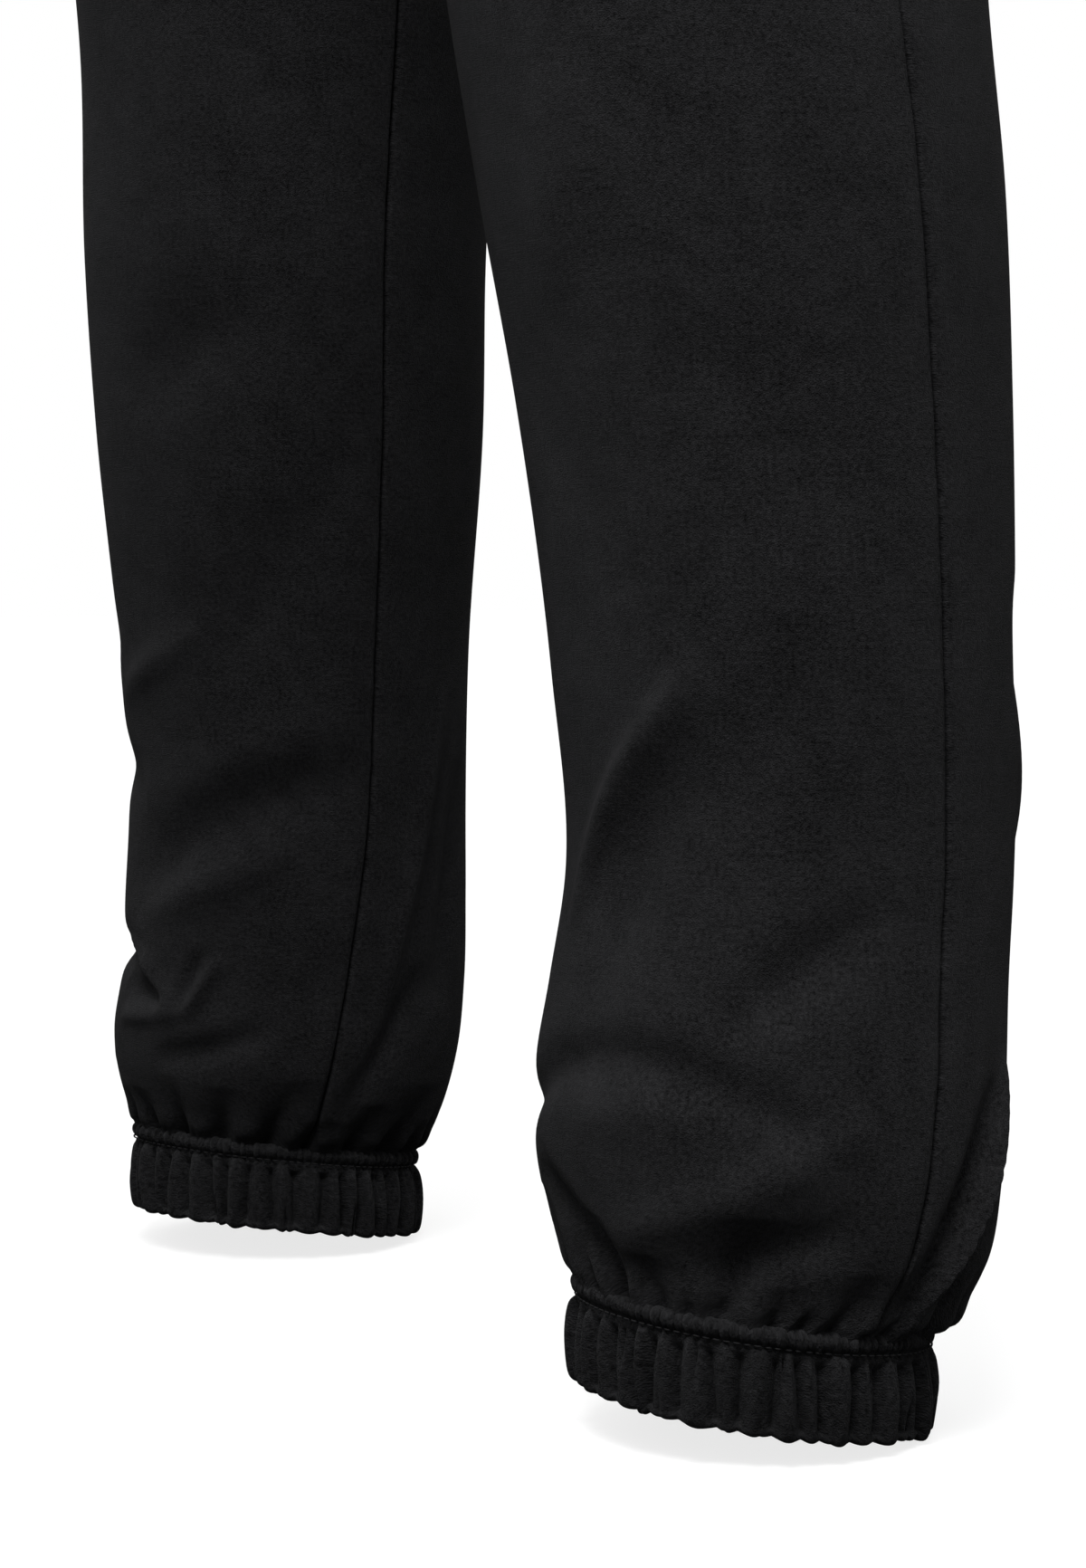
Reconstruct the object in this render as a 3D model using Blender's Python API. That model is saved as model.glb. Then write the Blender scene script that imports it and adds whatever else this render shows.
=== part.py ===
"""Jogger sweatpants in the hollow form that they keep when worn, standing with the left leg a little ahead.

Seven cut pieces: two fronts, two backs, two gathered elastic cuffs and a gathered elastic waistband.
Metres, +Z up, the front towards -Y and the wearer's left towards +X. The origin is the middle of the waist
opening, half way up the waistband, where the wearer holds the garment up. Tables give heights above the
floor.

Each leg is a tube through oval sections. Above the crotch the two ovals run into each other and are cut at
the centre plane, which gives the rise. A point of a section is named by its turn round the leg, in degrees:
0 is the outer side, 90 the front, 180 the inner side and 270 the back.
"""

import math
from collections import namedtuple

import bpy
import numpy as np

# Driving dimensions
WAIST_HEIGHT = 1.01  # middle of the waistband above the floor
WAISTBAND_TALL = 0.045
CROTCH_HEIGHT = 0.735
FORK_RISE = 0.05  # height over which the fork opens to the full depth of the seat
CUFF_TALL = 0.0315
CUFF_RADIUS = 0.0535
CUFF_TILT = 0.14  # rise of the cuff's front for each metre of its depth
CLOTH = 0.002  # sweatshirt fleece
SEAM_GAP = 0.0003
CUFF_PLEATS = 36
CUFF_PLEAT_DEPTH = 0.0016
WAIST_PLEATS = 40
WAIST_PLEAT_DEPTH = 0.0018
CUFF_PLEAT_SHIFTS = (0.6, 2.3)  # left and right: radians that set where the pleats are wide and narrow
WAIST_PLEAT_SHIFT = 1.4

CUFF_LIFT = CUFF_TILT * CUFF_RADIUS  # lifts the middle of the tilted cuff until its back edge is on the floor
HEM_HEIGHT = CUFF_LIFT + CUFF_TALL + SEAM_GAP
YOKE_HEIGHT = WAIST_HEIGHT - WAISTBAND_TALL / 2 - SEAM_GAP

# Mesh fineness
PANEL_COLUMNS = 13
FORK_ROWS = 4
LEG_ROW_HEIGHTS = (
    HEM_HEIGHT, 0.0425, 0.048, 0.056, 0.068, 0.083, 0.100, 0.118, 0.134, 0.148, 0.163, 0.185,
    0.215, 0.255, 0.305, 0.360, 0.430, 0.535, 0.640, 0.700, CROTCH_HEIGHT,
)  # fmt: skip
RISE_ROW_HEIGHTS = (0.830, 0.890, 0.945, YOKE_HEIGHT)

LEFT, RIGHT = "left", "right"
SIDE_SIGN = {LEFT: 1.0, RIGHT: -1.0}

# gap: from the centre plane to the inner side of the oval, negative above the crotch, where ovals overlap.
# tilt: rise of the front for each metre of depth.
Section = namedtuple("Section", "height gap half_width centre_y half_front half_back tilt")
RISE = [
    #       height          gap    width  centre  front   back   tilt
    Section(CROTCH_HEIGHT, 0.0, 0.0985, 0.0, 0.1060, 0.1230, 0.0),
    Section(0.760, -0.0260, 0.1125, 0.0, 0.1085, 0.1290, 0.0),
    Section(0.800, -0.0800, 0.1405, 0.0, 0.1115, 0.1370, 0.0),
    Section(0.850, -0.1360, 0.1670, 0.0, 0.1145, 0.1420, 0.0),
    Section(0.900, -0.1670, 0.1775, 0.0, 0.1160, 0.1380, 0.0),
    Section(0.945, -0.1710, 0.1715, 0.0, 0.1130, 0.1260, 0.0),
    Section(YOKE_HEIGHT, -0.1530, 0.1530, 0.0, 0.1050, 0.1110, 0.0),
]
FORM = {
    LEFT: [
        #       height       gap    width   centre   front   back   tilt
        Section(HEM_HEIGHT, 0.1175, 0.0520, -0.0360, 0.0520, 0.0520, CUFF_TILT),
        Section(0.0425, 0.1110, 0.0570, -0.0320, 0.0570, 0.0570, 0.135),
        Section(0.048, 0.1053, 0.0610, -0.0290, 0.0610, 0.0610, 0.130),
        Section(0.055, 0.1015, 0.0640, -0.0270, 0.0640, 0.0640, 0.120),
        Section(0.075, 0.0947, 0.0683, -0.0242, 0.0683, 0.0683, 0.085),
        Section(0.100, 0.0912, 0.0693, -0.0213, 0.0693, 0.0693, 0.040),
        Section(0.130, 0.0897, 0.0677, -0.0148, 0.0677, 0.0677, 0.010),
        Section(0.160, 0.0880, 0.0665, -0.0080, 0.0665, 0.0665, 0.0),
        Section(0.220, 0.0791, 0.0690, -0.0048, 0.0690, 0.0690, 0.0),
        Section(0.300, 0.0658, 0.0740, -0.0052, 0.0740, 0.0740, 0.0),
        Section(0.360, 0.0554, 0.0783, -0.0086, 0.0783, 0.0783, 0.0),
        Section(0.430, 0.0461, 0.0803, -0.0142, 0.0810, 0.0820, 0.0),
        Section(0.520, 0.0310, 0.0855, -0.0140, 0.0880, 0.0930, 0.0),
        Section(0.640, 0.0150, 0.0915, -0.0060, 0.0980, 0.1080, 0.0),
        *RISE,
    ],
    RIGHT: [
        Section(HEM_HEIGHT, 0.1180, 0.0515, 0.0375, 0.0515, 0.0515, CUFF_TILT),
        Section(0.0425, 0.1135, 0.0545, 0.0378, 0.0545, 0.0545, 0.135),
        Section(0.048, 0.1091, 0.0572, 0.0378, 0.0572, 0.0572, 0.130),
        Section(0.055, 0.1055, 0.0596, 0.0376, 0.0596, 0.0596, 0.120),
        Section(0.075, 0.0996, 0.0634, 0.0385, 0.0634, 0.0634, 0.085),
        Section(0.100, 0.0975, 0.0632, 0.0405, 0.0632, 0.0632, 0.040),
        Section(0.130, 0.0947, 0.0627, 0.0392, 0.0627, 0.0627, 0.010),
        Section(0.160, 0.0924, 0.0618, 0.0378, 0.0618, 0.0618, 0.0),
        Section(0.220, 0.0845, 0.0636, 0.0321, 0.0636, 0.0636, 0.0),
        Section(0.300, 0.0703, 0.0696, 0.0246, 0.0696, 0.0696, 0.0),
        Section(0.360, 0.0622, 0.0715, 0.0185, 0.0715, 0.0715, 0.0),
        Section(0.430, 0.0530, 0.0735, 0.0150, 0.0735, 0.0745, 0.0),
        Section(0.520, 0.0355, 0.0810, 0.0070, 0.0820, 0.0890, 0.0),
        Section(0.640, 0.0155, 0.0910, 0.0, 0.0970, 0.1070, 0.0),
        *RISE,
    ],
}

# How far the outseam and the inseam sit round towards the front of the leg, in degrees
SeamLine = namedtuple("SeamLine", "height outer inner")
SEAM_LINES = [
    #        height outer inner
    SeamLine(HEM_HEIGHT, 8.0, 23.0),
    SeamLine(0.060, 5.0, 21.0),
    SeamLine(0.100, 0.0, 18.5),
    SeamLine(0.150, 1.0, 12.5),
    SeamLine(0.220, 1.0, 9.0),
    SeamLine(0.300, 2.0, 8.0),
    SeamLine(0.400, 2.5, 6.5),
    SeamLine(0.600, 1.5, 2.5),
    SeamLine(CROTCH_HEIGHT, 0.0, 0.0),
]

# The largest folds: soft troughs (negative depth) and ridges, each along an arc from one point to another.
# bow: how far the arc's middle stands above the straight line. reach: how far the fold spreads to each side.
Fold = namedtuple("Fold", "turn_a height_a turn_b height_b bow reach depth")
FOLDS = {
    LEFT: [
        #  turn_a height_a turn_b height_b bow   reach  depth
        Fold(36, 0.245, 75, 0.173, -0.008, 0.015, -0.0030),
        Fold(74, 0.225, 122, 0.160, 0.004, 0.009, 0.0026),
        Fold(92, 0.158, 165, 0.156, 0.000, 0.009, -0.0030),
        Fold(16, 0.180, 52, 0.138, 0.000, 0.013, -0.0028),
        Fold(112, 0.096, 28, 0.100, 0.030, 0.010, -0.0026),
        Fold(110, 0.088, 26, 0.098, -0.018, 0.009, 0.0020),
        Fold(110, 0.072, 82, 0.050, 0.000, 0.007, -0.0028),
        Fold(28, 0.070, 58, 0.050, 0.000, 0.008, -0.0024),
        Fold(-18, 0.102, 0, 0.050, 0.000, 0.008, 0.0024),
        Fold(318, 0.250, 262, 0.170, -0.010, 0.015, -0.0030),
        Fold(300, 0.140, 235, 0.105, 0.014, 0.011, -0.0028),
        Fold(240, 0.165, 190, 0.120, 0.000, 0.010, 0.0024),
        Fold(215, 0.300, 170, 0.235, 0.000, 0.016, -0.0026),
    ],
    RIGHT: [
        Fold(138, 0.356, 92, 0.314, 0.000, 0.018, -0.0028),
        Fold(160, 0.305, 118, 0.215, 0.000, 0.018, -0.0028),
        Fold(150, 0.186, 80, 0.138, 0.000, 0.015, -0.0030),
        Fold(148, 0.166, 98, 0.134, 0.000, 0.010, 0.0020),
        Fold(25, 0.186, 84, 0.180, 0.000, 0.012, -0.0022),
        Fold(22, 0.114, 104, 0.111, 0.000, 0.008, -0.0040),
        Fold(50, 0.094, 114, 0.088, 0.000, 0.008, 0.0020),
        Fold(144, 0.096, 98, 0.072, 0.000, 0.009, -0.0025),
        Fold(203, 0.170, 170, 0.054, 0.004, 0.009, -0.0028),
        Fold(252, 0.240, 300, 0.170, -0.008, 0.015, -0.0030),
        Fold(245, 0.120, 310, 0.092, 0.012, 0.011, -0.0028),
        Fold(330, 0.150, 385, 0.125, 0.000, 0.010, 0.0024),
    ],
}

# Sections of the gathered casings, from the outer foot round over the top and down the inner side.
# out: from the casing's ring line. up: as a share of its height. pleat: share of the pleats' depth there.
CasingPoint = namedtuple("CasingPoint", "out up pleat")
CUFF_PROFILE = [
    #           out      up    pleat
    CasingPoint(-0.0030, 0.000, 0.2),
    CasingPoint(-0.0002, 0.110, 0.8),
    CasingPoint(0.0010, 0.400, 1.0),
    CasingPoint(0.0004, 0.690, 1.0),
    CasingPoint(-0.0020, 0.815, 0.2),
    CasingPoint(-0.0006, 0.910, 0.5),
    CasingPoint(-0.0028, 1.000, 0.0),
    CasingPoint(-0.0068, 0.950, 0.0),
    CasingPoint(-0.0068, 0.060, 0.0),
]
WAIST_PROFILE = [
    CasingPoint(-0.0022, 0.000, 0.0),
    CasingPoint(0.0012, 0.100, 0.8),
    CasingPoint(0.0020, 0.500, 1.0),
    CasingPoint(0.0010, 0.900, 0.8),
    CasingPoint(-0.0022, 1.000, 0.2),
    CasingPoint(-0.0052, 0.950, 0.0),
    CasingPoint(-0.0058, 0.500, 0.0),
    CasingPoint(-0.0052, 0.050, 0.0),
]

CLOTH_BLACK = (0.0105, 0.0108, 0.0120, 1.0)
CLOTH_ROUGHNESS = 0.9


def column_at(rows, column, heights):
    """A column of a table at any heights, on cubic arcs whose slopes come from the neighbouring rows."""
    at = np.array([row.height for row in rows])
    value = np.array([getattr(row, column) for row in rows])
    step = np.diff(at)
    chord = np.diff(value) / step
    inner = (chord[:-1] * step[1:] + chord[1:] * step[:-1]) / (step[:-1] + step[1:])
    slope = np.concatenate([chord[:1], inner, chord[-1:]])
    heights = np.clip(heights, at[0], at[-1])
    i = np.clip(np.searchsorted(at, heights, side="right") - 1, 0, len(step) - 1)
    t = (heights - at[i]) / step[i]
    curve = value[i] * (1 + 2 * t) * (1 - t) ** 2 + value[i + 1] * t**2 * (3 - 2 * t)
    return curve + step[i] * (slope[i] * t * (1 - t) ** 2 - slope[i + 1] * t**2 * (1 - t))


def form_at(side, heights):
    """The oval at each height, as a dict with an array for each column of its table."""
    form = {name: column_at(FORM[side], name, heights) for name in Section._fields[1:]}
    form["centre_x"] = SEAM_GAP / 2 + form["gap"] + form["half_width"]
    return form


def centre_turn(form):
    """The turn at which a section meets the centre plane: 180 where it only touches it or stays clear."""
    cosine = np.clip((SEAM_GAP / 2 - form["centre_x"]) / form["half_width"], -1.0, 1.0)
    return np.degrees(np.arccos(cosine))


def fold_height(side, turns, heights, girth_radius):
    """How far the folds lift the cloth: each is a bell across its arc that fades in and out along it."""
    lift = np.zeros(np.broadcast(turns, heights).shape)
    for fold in FOLDS[side]:
        run = np.radians(fold.turn_b - fold.turn_a) * girth_radius
        climb = fold.height_b - fold.height_a
        length = np.hypot(run, climb)
        right = np.radians((turns - fold.turn_a + 180.0) % 360.0 - 180.0) * girth_radius
        up = heights - fold.height_a
        along = (right * run + up * climb) / length**2
        across = (up * run - right * climb) / length * np.sign(run)
        inside = np.clip(along, 0.0, 1.0)
        bell = np.exp(-(((across - 4 * fold.bow * inside * (1 - inside)) / fold.reach) ** 2))
        lift = lift + fold.depth * bell * np.sin(np.pi * inside) ** 0.8
    return lift


def leg_surface(side, turns, heights):
    """Outer points of a leg and its half of the rise, at turns in degrees and heights above the floor."""
    form = form_at(side, heights)
    angle = np.radians(turns)
    across, forward = np.cos(angle), np.sin(angle)
    depth = np.where(forward >= 0, form["half_front"], form["half_back"])
    # Above the crotch the inner half of the oval widens until it spans the fork.
    meets = centre_turn(form)
    fork = np.sqrt(np.clip((heights - CROTCH_HEIGHT) / FORK_RISE, 0.0, 1.0))
    from_front = np.abs((turns % 360.0) - 180.0)
    towards_centre = np.clip((90.0 - from_front) / np.maximum(meets - 90.0, 1e-6), 0.0, 1.0)
    spread = np.where(heights > CROTCH_HEIGHT, (fork - np.sin(np.radians(meets))), 0.0)
    reach = np.abs(forward) + spread * towards_centre**2
    girth_radius = (form["half_width"] + form["half_front"]) / 2
    lift = fold_height(side, turns, heights, girth_radius)
    front_or_back = np.where(forward >= 0, 1.0, -1.0)
    x = form["centre_x"] + (form["half_width"] + lift) * across
    y = form["centre_y"] - (depth + lift) * reach * front_or_back
    z = heights + form["tilt"] * depth * reach * front_or_back
    return np.stack([SIDE_SIGN[side] * x, y, z - WAIST_HEIGHT], axis=-1)


def panel_grid(side, is_front):
    """Outer points of a panel, a row for each height, from its outseam to its inseam or centre line."""
    fork_shares = (np.arange(1, FORK_ROWS + 1) / FORK_ROWS) ** 2
    heights = np.concatenate(
        [LEG_ROW_HEIGHTS, CROTCH_HEIGHT + FORK_RISE * fork_shares, RISE_ROW_HEIGHTS]
    )
    form = form_at(side, heights)
    half_gap = np.degrees(SEAM_GAP / 2 / form["half_width"])
    outer = column_at(SEAM_LINES, "outer", heights)
    inner = centre_turn(form) - column_at(SEAM_LINES, "inner", heights)
    in_leg = heights <= CROTCH_HEIGHT
    if is_front:
        first = outer + half_gap
        last = inner - np.where(in_leg, half_gap, 0.0)
    else:
        first = 360.0 + outer - half_gap
        last = np.where(in_leg, inner + half_gap, 360.0 - inner)
    share = np.linspace(0.0, 1.0, PANEL_COLUMNS)
    turns = first[:, None] + (last - first)[:, None] * share[None, :]
    return leg_surface(side, turns, np.broadcast_to(heights[:, None], turns.shape)), in_leg


def grid_normals(points, faces_out):
    """Normals of a grid's points, each the mean of its neighbouring faces'."""
    face = np.cross(points[1:, 1:] - points[:-1, :-1], points[1:, :-1] - points[:-1, 1:]) * faces_out
    total = np.zeros(points.shape)
    for row, column in ((0, 0), (0, 1), (1, 0), (1, 1)):
        total[row : row + face.shape[0], column : column + face.shape[1]] += face
    return total


def unit(vectors):
    """The vectors at length one."""
    return vectors / np.linalg.norm(vectors, axis=-1, keepdims=True)


def panel_walls(side):
    """Outer and inner points of one side's front and back panel, with shared normals along their seams."""
    front, in_leg = panel_grid(side, True)
    back, _ = panel_grid(side, False)
    front_normal = grid_normals(front, -SIDE_SIGN[side])
    back_normal = grid_normals(back, SIDE_SIGN[side])
    outseam = front_normal[:, 0] + back_normal[:, 0]
    inseam = front_normal[:, -1] + back_normal[:, -1]
    front_normal[:, 0] = back_normal[:, 0] = outseam
    front_normal[in_leg, -1] = back_normal[in_leg, -1] = inseam[in_leg]
    front_normal[~in_leg, -1, 0] = back_normal[~in_leg, -1, 0] = 0.0
    return (
        (front, front - CLOTH * unit(front_normal)),
        (back, back - CLOTH * unit(back_normal)),
    )


def wall_faces(rows, columns, flip):
    """Faces of a closed wall: an outer grid, an inner grid and the four edges that join them."""
    outer = np.arange(rows * columns).reshape(rows, columns)
    inner = outer + rows * columns
    quads = [
        np.stack([outer[:-1, :-1], outer[:-1, 1:], outer[1:, 1:], outer[1:, :-1]], axis=-1),
        np.stack([inner[:-1, :-1], inner[1:, :-1], inner[1:, 1:], inner[:-1, 1:]], axis=-1),
    ]
    rim = np.concatenate([outer[0, :], outer[1:, -1], outer[-1, -2::-1], outer[-2::-1, 0]])
    rim_inner = rim + rows * columns
    quads.append(np.stack([rim[1:], rim[:-1], rim_inner[:-1], rim_inner[1:]], axis=-1))
    faces = np.concatenate([quad.reshape(-1, 4) for quad in quads])
    return faces[:, ::-1] if flip else faces


def pleat_wave(turns, count, side_shift):
    """Uneven pleats round a casing, 1 on the crests and 0 in the valleys."""
    drift = 0.45 * np.sin(3 * turns + side_shift) + 0.3 * np.sin(7 * turns + 2.1 * side_shift)
    return 0.5 + 0.5 * np.cos(count * turns + drift)


def casing_points(ring, profile, tall, pleats, pleat_depth, side_shift):
    """Points of a gathered casing. ring gives its base line and the direction outward at each turn."""
    turns = np.arange(2 * pleats) * math.pi / pleats
    base, outward = ring(turns)
    valley = 1 - pleat_wave(turns, pleats, side_shift)
    rows = []
    for point in profile:
        out = point.out - pleat_depth * point.pleat * valley
        row = base + outward * out[:, None]
        row[:, 2] += point.up * tall
        rows.append(row)
    return np.array(rows)


def ring_faces(rows, columns):
    """Faces of a ring whose closed section has a row for each of its points."""
    grid = np.arange(rows * columns).reshape(rows, columns)
    ahead = np.roll(grid, -1, axis=1)
    above = np.roll(grid, -1, axis=0)
    return np.stack([grid, ahead, np.roll(ahead, -1, axis=0), above], axis=-1).reshape(-1, 4)


def cuff_ring(side):
    """The base line of a cuff: a circle tilted up at the front, round the leg's lowest section."""
    hem = FORM[side][0]
    centre = np.array([SIDE_SIGN[side] * (SEAM_GAP / 2 + hem.gap + hem.half_width), hem.centre_y])

    def ring(turns):
        outward = np.stack([np.cos(turns), np.sin(turns), -CUFF_TILT * np.sin(turns)], axis=-1)
        base = outward * CUFF_RADIUS + np.append(centre, CUFF_LIFT - WAIST_HEIGHT)
        return base, outward

    return ring


def waist_ring(turns):
    """The base line of the waistband: an oval that follows the top edge of the panels."""
    top = RISE[-1]
    half_depth = np.where(np.sin(turns) < 0, top.half_front, top.half_back)
    base = np.stack([top.half_width * np.cos(turns), half_depth * np.sin(turns), 0 * turns], axis=-1)
    outward = unit(base / np.stack([top.half_width + 0 * turns, half_depth, 1 + 0 * turns], axis=-1) ** 2)
    base[:, 2] = -WAISTBAND_TALL / 2
    return base, outward


def cloth_material(name):
    """Black sweatshirt fleece."""
    material = bpy.data.materials.new(name)
    material.use_nodes = True
    shader = material.node_tree.nodes["Principled BSDF"]
    shader.inputs["Base Color"].default_value = CLOTH_BLACK
    shader.inputs["Roughness"].default_value = CLOTH_ROUGHNESS
    shader.inputs["Metallic"].default_value = 0.0
    return material


def add_piece(name, points, faces):
    """A named object with its own material, from rows of points and quads."""
    mesh = bpy.data.meshes.new(name)
    mesh.from_pydata(points.reshape(-1, 3).tolist(), [], faces.tolist())
    mesh.materials.append(cloth_material(name + "_cloth"))
    mesh.shade_smooth()
    mesh.set_sharp_from_angle(angle=math.radians(50))
    piece = bpy.data.objects.new(name, mesh)
    bpy.context.scene.collection.objects.link(piece)
    return piece


def build_panels():
    """The two fronts and the two backs."""
    for side in (LEFT, RIGHT):
        for name, (outer, inner), turned in zip(("front", "back"), panel_walls(side), (1.0, -1.0)):
            rows, columns = outer.shape[:2]
            flip = SIDE_SIGN[side] * turned > 0
            add_piece(f"{name}_{side}", np.stack([outer, inner]), wall_faces(rows, columns, flip))


def build_cuffs():
    """The two gathered ankle cuffs."""
    for side, shift in zip((LEFT, RIGHT), CUFF_PLEAT_SHIFTS):
        points = casing_points(
            cuff_ring(side), CUFF_PROFILE, CUFF_TALL, CUFF_PLEATS, CUFF_PLEAT_DEPTH, shift
        )
        add_piece(f"cuff_{side}", points, ring_faces(*points.shape[:2]))


def build_waistband():
    """The gathered waistband."""
    points = casing_points(
        waist_ring, WAIST_PROFILE, WAISTBAND_TALL, WAIST_PLEATS, WAIST_PLEAT_DEPTH, WAIST_PLEAT_SHIFT
    )
    add_piece("waistband", points, ring_faces(*points.shape[:2]))


def main():
    for old in list(bpy.data.objects):
        bpy.data.objects.remove(old, do_unlink=True)
    build_panels()
    build_cuffs()
    build_waistband()


main()
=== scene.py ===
"""Jogger sweatpants in black fleece, hollow, in the form that they keep when worn.

Each panel is a thin closed shell on the form of its solid: a tube through oval sections with the main folds laid on
it. The cuffs and the waistband are gathered casings carried round a ring. Metres, +Z up, the wearer's front
towards -Y and left towards +X. Tables give heights above the floor and turns round a leg in degrees: 0 is the outer
side, 90 the front, 180 the inner side and 270 the back.
"""

import math
from collections import namedtuple

import bpy
import numpy as np
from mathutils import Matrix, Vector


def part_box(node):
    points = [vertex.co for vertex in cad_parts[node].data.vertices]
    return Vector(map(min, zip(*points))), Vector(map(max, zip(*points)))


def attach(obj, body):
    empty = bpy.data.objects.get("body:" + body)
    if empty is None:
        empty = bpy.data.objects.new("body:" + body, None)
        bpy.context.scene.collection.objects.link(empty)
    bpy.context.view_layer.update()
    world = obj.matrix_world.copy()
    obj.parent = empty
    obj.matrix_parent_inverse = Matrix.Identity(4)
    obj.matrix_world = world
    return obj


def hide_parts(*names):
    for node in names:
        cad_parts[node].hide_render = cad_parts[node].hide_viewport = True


bl_info = {
    "name": "Jogger sweatpants",
    "version": (1, 0, 0),
    "blender": (4, 5, 0),
    "location": "3D View > Sidebar > Joggers",
    "description": "Builds black fleece joggers with gathered cuffs on their packed frame",
    "category": "Add Mesh",
}

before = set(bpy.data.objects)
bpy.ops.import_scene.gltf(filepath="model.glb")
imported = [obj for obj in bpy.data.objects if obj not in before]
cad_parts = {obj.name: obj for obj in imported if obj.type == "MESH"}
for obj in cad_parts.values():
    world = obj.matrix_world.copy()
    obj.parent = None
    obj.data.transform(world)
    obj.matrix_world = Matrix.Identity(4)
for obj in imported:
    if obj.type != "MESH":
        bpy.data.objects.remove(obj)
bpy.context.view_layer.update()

WAIST_HEIGHT = 1.01  # the middle of the waistband, where the frame's origin is
WAISTBAND_TALL = 0.045
CROTCH_HEIGHT = 0.735
FORK_RISE = 0.05  # how far above the crotch the body has spread to its full depth
CUFF_TALL = 0.0315
CUFF_RADIUS = 0.0535
CUFF_TILT = 0.14  # rise of a cuff's front for each metre forward
CLOTH = 0.002  # thickness of the fleece
SEAM_GAP = 0.0003  # between a panel's edge and the casing that it is sewn to
MEETING = 0.00001  # how close two edges that are sewn together come
STRAY_LIMIT = 0.008  # how far a shell may reach past its solid's box
CUFF_LIFT = CUFF_TILT * CUFF_RADIUS
HEM_HEIGHT = CUFF_LIFT + CUFF_TALL + SEAM_GAP
YOKE_HEIGHT = WAIST_HEIGHT - WAISTBAND_TALL / 2 - SEAM_GAP

LEFT, RIGHT = "left", "right"
SIDE_SIGN = {LEFT: 1.0, RIGHT: -1.0}
TILT_SHARES = {LEFT: (0.92, 0.44), RIGHT: (1.0, 0.0)}  # how much of a cuff's tilt rises forward and falls outward


def named_rows(kind, *table):
    """A table's rows with their columns named."""
    return [kind(*row) for row in table]


# gap: from the centre plane to the inner side of the oval, negative above the crotch, where the ovals overlap.
# tilt: rise of the front for each metre of depth.
Section = namedtuple("Section", "height gap half_width centre_y half_front half_back tilt")
RISE = named_rows(
    Section,
    # height, gap, width, centre, front, back, tilt
    (CROTCH_HEIGHT, 0.0, 0.0985, 0.0, 0.1060, 0.1230, 0.0),
    (0.760, -0.0260, 0.1125, 0.0, 0.1085, 0.1290, 0.0),
    (0.800, -0.0800, 0.1405, 0.0, 0.1115, 0.1370, 0.0),
    (0.850, -0.1360, 0.1670, 0.0, 0.1145, 0.1420, 0.0),
    (0.900, -0.1670, 0.1775, 0.0, 0.1160, 0.1380, 0.0),
    (0.945, -0.1710, 0.1715, 0.0, 0.1130, 0.1260, 0.0),
    (YOKE_HEIGHT, -0.1530, 0.1530, 0.0, 0.1050, 0.1110, 0.0),
)
FORM = {
    LEFT: named_rows(
        Section,
        (HEM_HEIGHT, 0.1175, 0.0520, -0.0360, 0.0520, 0.0520, CUFF_TILT),
        (0.0425, 0.1110, 0.0570, -0.0320, 0.0570, 0.0570, 0.135),
        (0.048, 0.1053, 0.0610, -0.0290, 0.0610, 0.0610, 0.130),
        (0.055, 0.1015, 0.0640, -0.0270, 0.0640, 0.0640, 0.120),
        (0.075, 0.0947, 0.0683, -0.0242, 0.0683, 0.0683, 0.085),
        (0.100, 0.0912, 0.0693, -0.0213, 0.0693, 0.0693, 0.040),
        (0.130, 0.0897, 0.0677, -0.0148, 0.0677, 0.0677, 0.010),
        (0.160, 0.0880, 0.0665, -0.0080, 0.0665, 0.0665, 0.0),
        (0.220, 0.0791, 0.0690, -0.0048, 0.0690, 0.0690, 0.0),
        (0.300, 0.0658, 0.0740, -0.0052, 0.0740, 0.0740, 0.0),
        (0.360, 0.0554, 0.0783, -0.0086, 0.0783, 0.0783, 0.0),
        (0.430, 0.0461, 0.0803, -0.0142, 0.0810, 0.0820, 0.0),
        (0.520, 0.0310, 0.0855, -0.0140, 0.0880, 0.0930, 0.0),
        (0.640, 0.0150, 0.0915, -0.0060, 0.0980, 0.1080, 0.0),
        *RISE,
    ),
    RIGHT: named_rows(
        Section,
        (HEM_HEIGHT, 0.1180, 0.0515, 0.0375, 0.0515, 0.0515, CUFF_TILT),
        (0.0425, 0.1135, 0.0545, 0.0378, 0.0545, 0.0545, 0.135),
        (0.048, 0.1091, 0.0572, 0.0378, 0.0572, 0.0572, 0.130),
        (0.055, 0.1055, 0.0596, 0.0376, 0.0596, 0.0596, 0.120),
        (0.075, 0.0996, 0.0634, 0.0385, 0.0634, 0.0634, 0.085),
        (0.100, 0.0975, 0.0632, 0.0405, 0.0632, 0.0632, 0.040),
        (0.130, 0.0947, 0.0627, 0.0392, 0.0627, 0.0627, 0.010),
        (0.160, 0.0924, 0.0618, 0.0378, 0.0618, 0.0618, 0.0),
        (0.220, 0.0845, 0.0636, 0.0321, 0.0636, 0.0636, 0.0),
        (0.300, 0.0703, 0.0696, 0.0246, 0.0696, 0.0696, 0.0),
        (0.360, 0.0622, 0.0715, 0.0185, 0.0715, 0.0715, 0.0),
        (0.430, 0.0530, 0.0735, 0.0150, 0.0735, 0.0745, 0.0),
        (0.520, 0.0355, 0.0810, 0.0070, 0.0820, 0.0890, 0.0),
        (0.640, 0.0155, 0.0910, 0.0, 0.0970, 0.1070, 0.0),
        *RISE,
    ),
}

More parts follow.
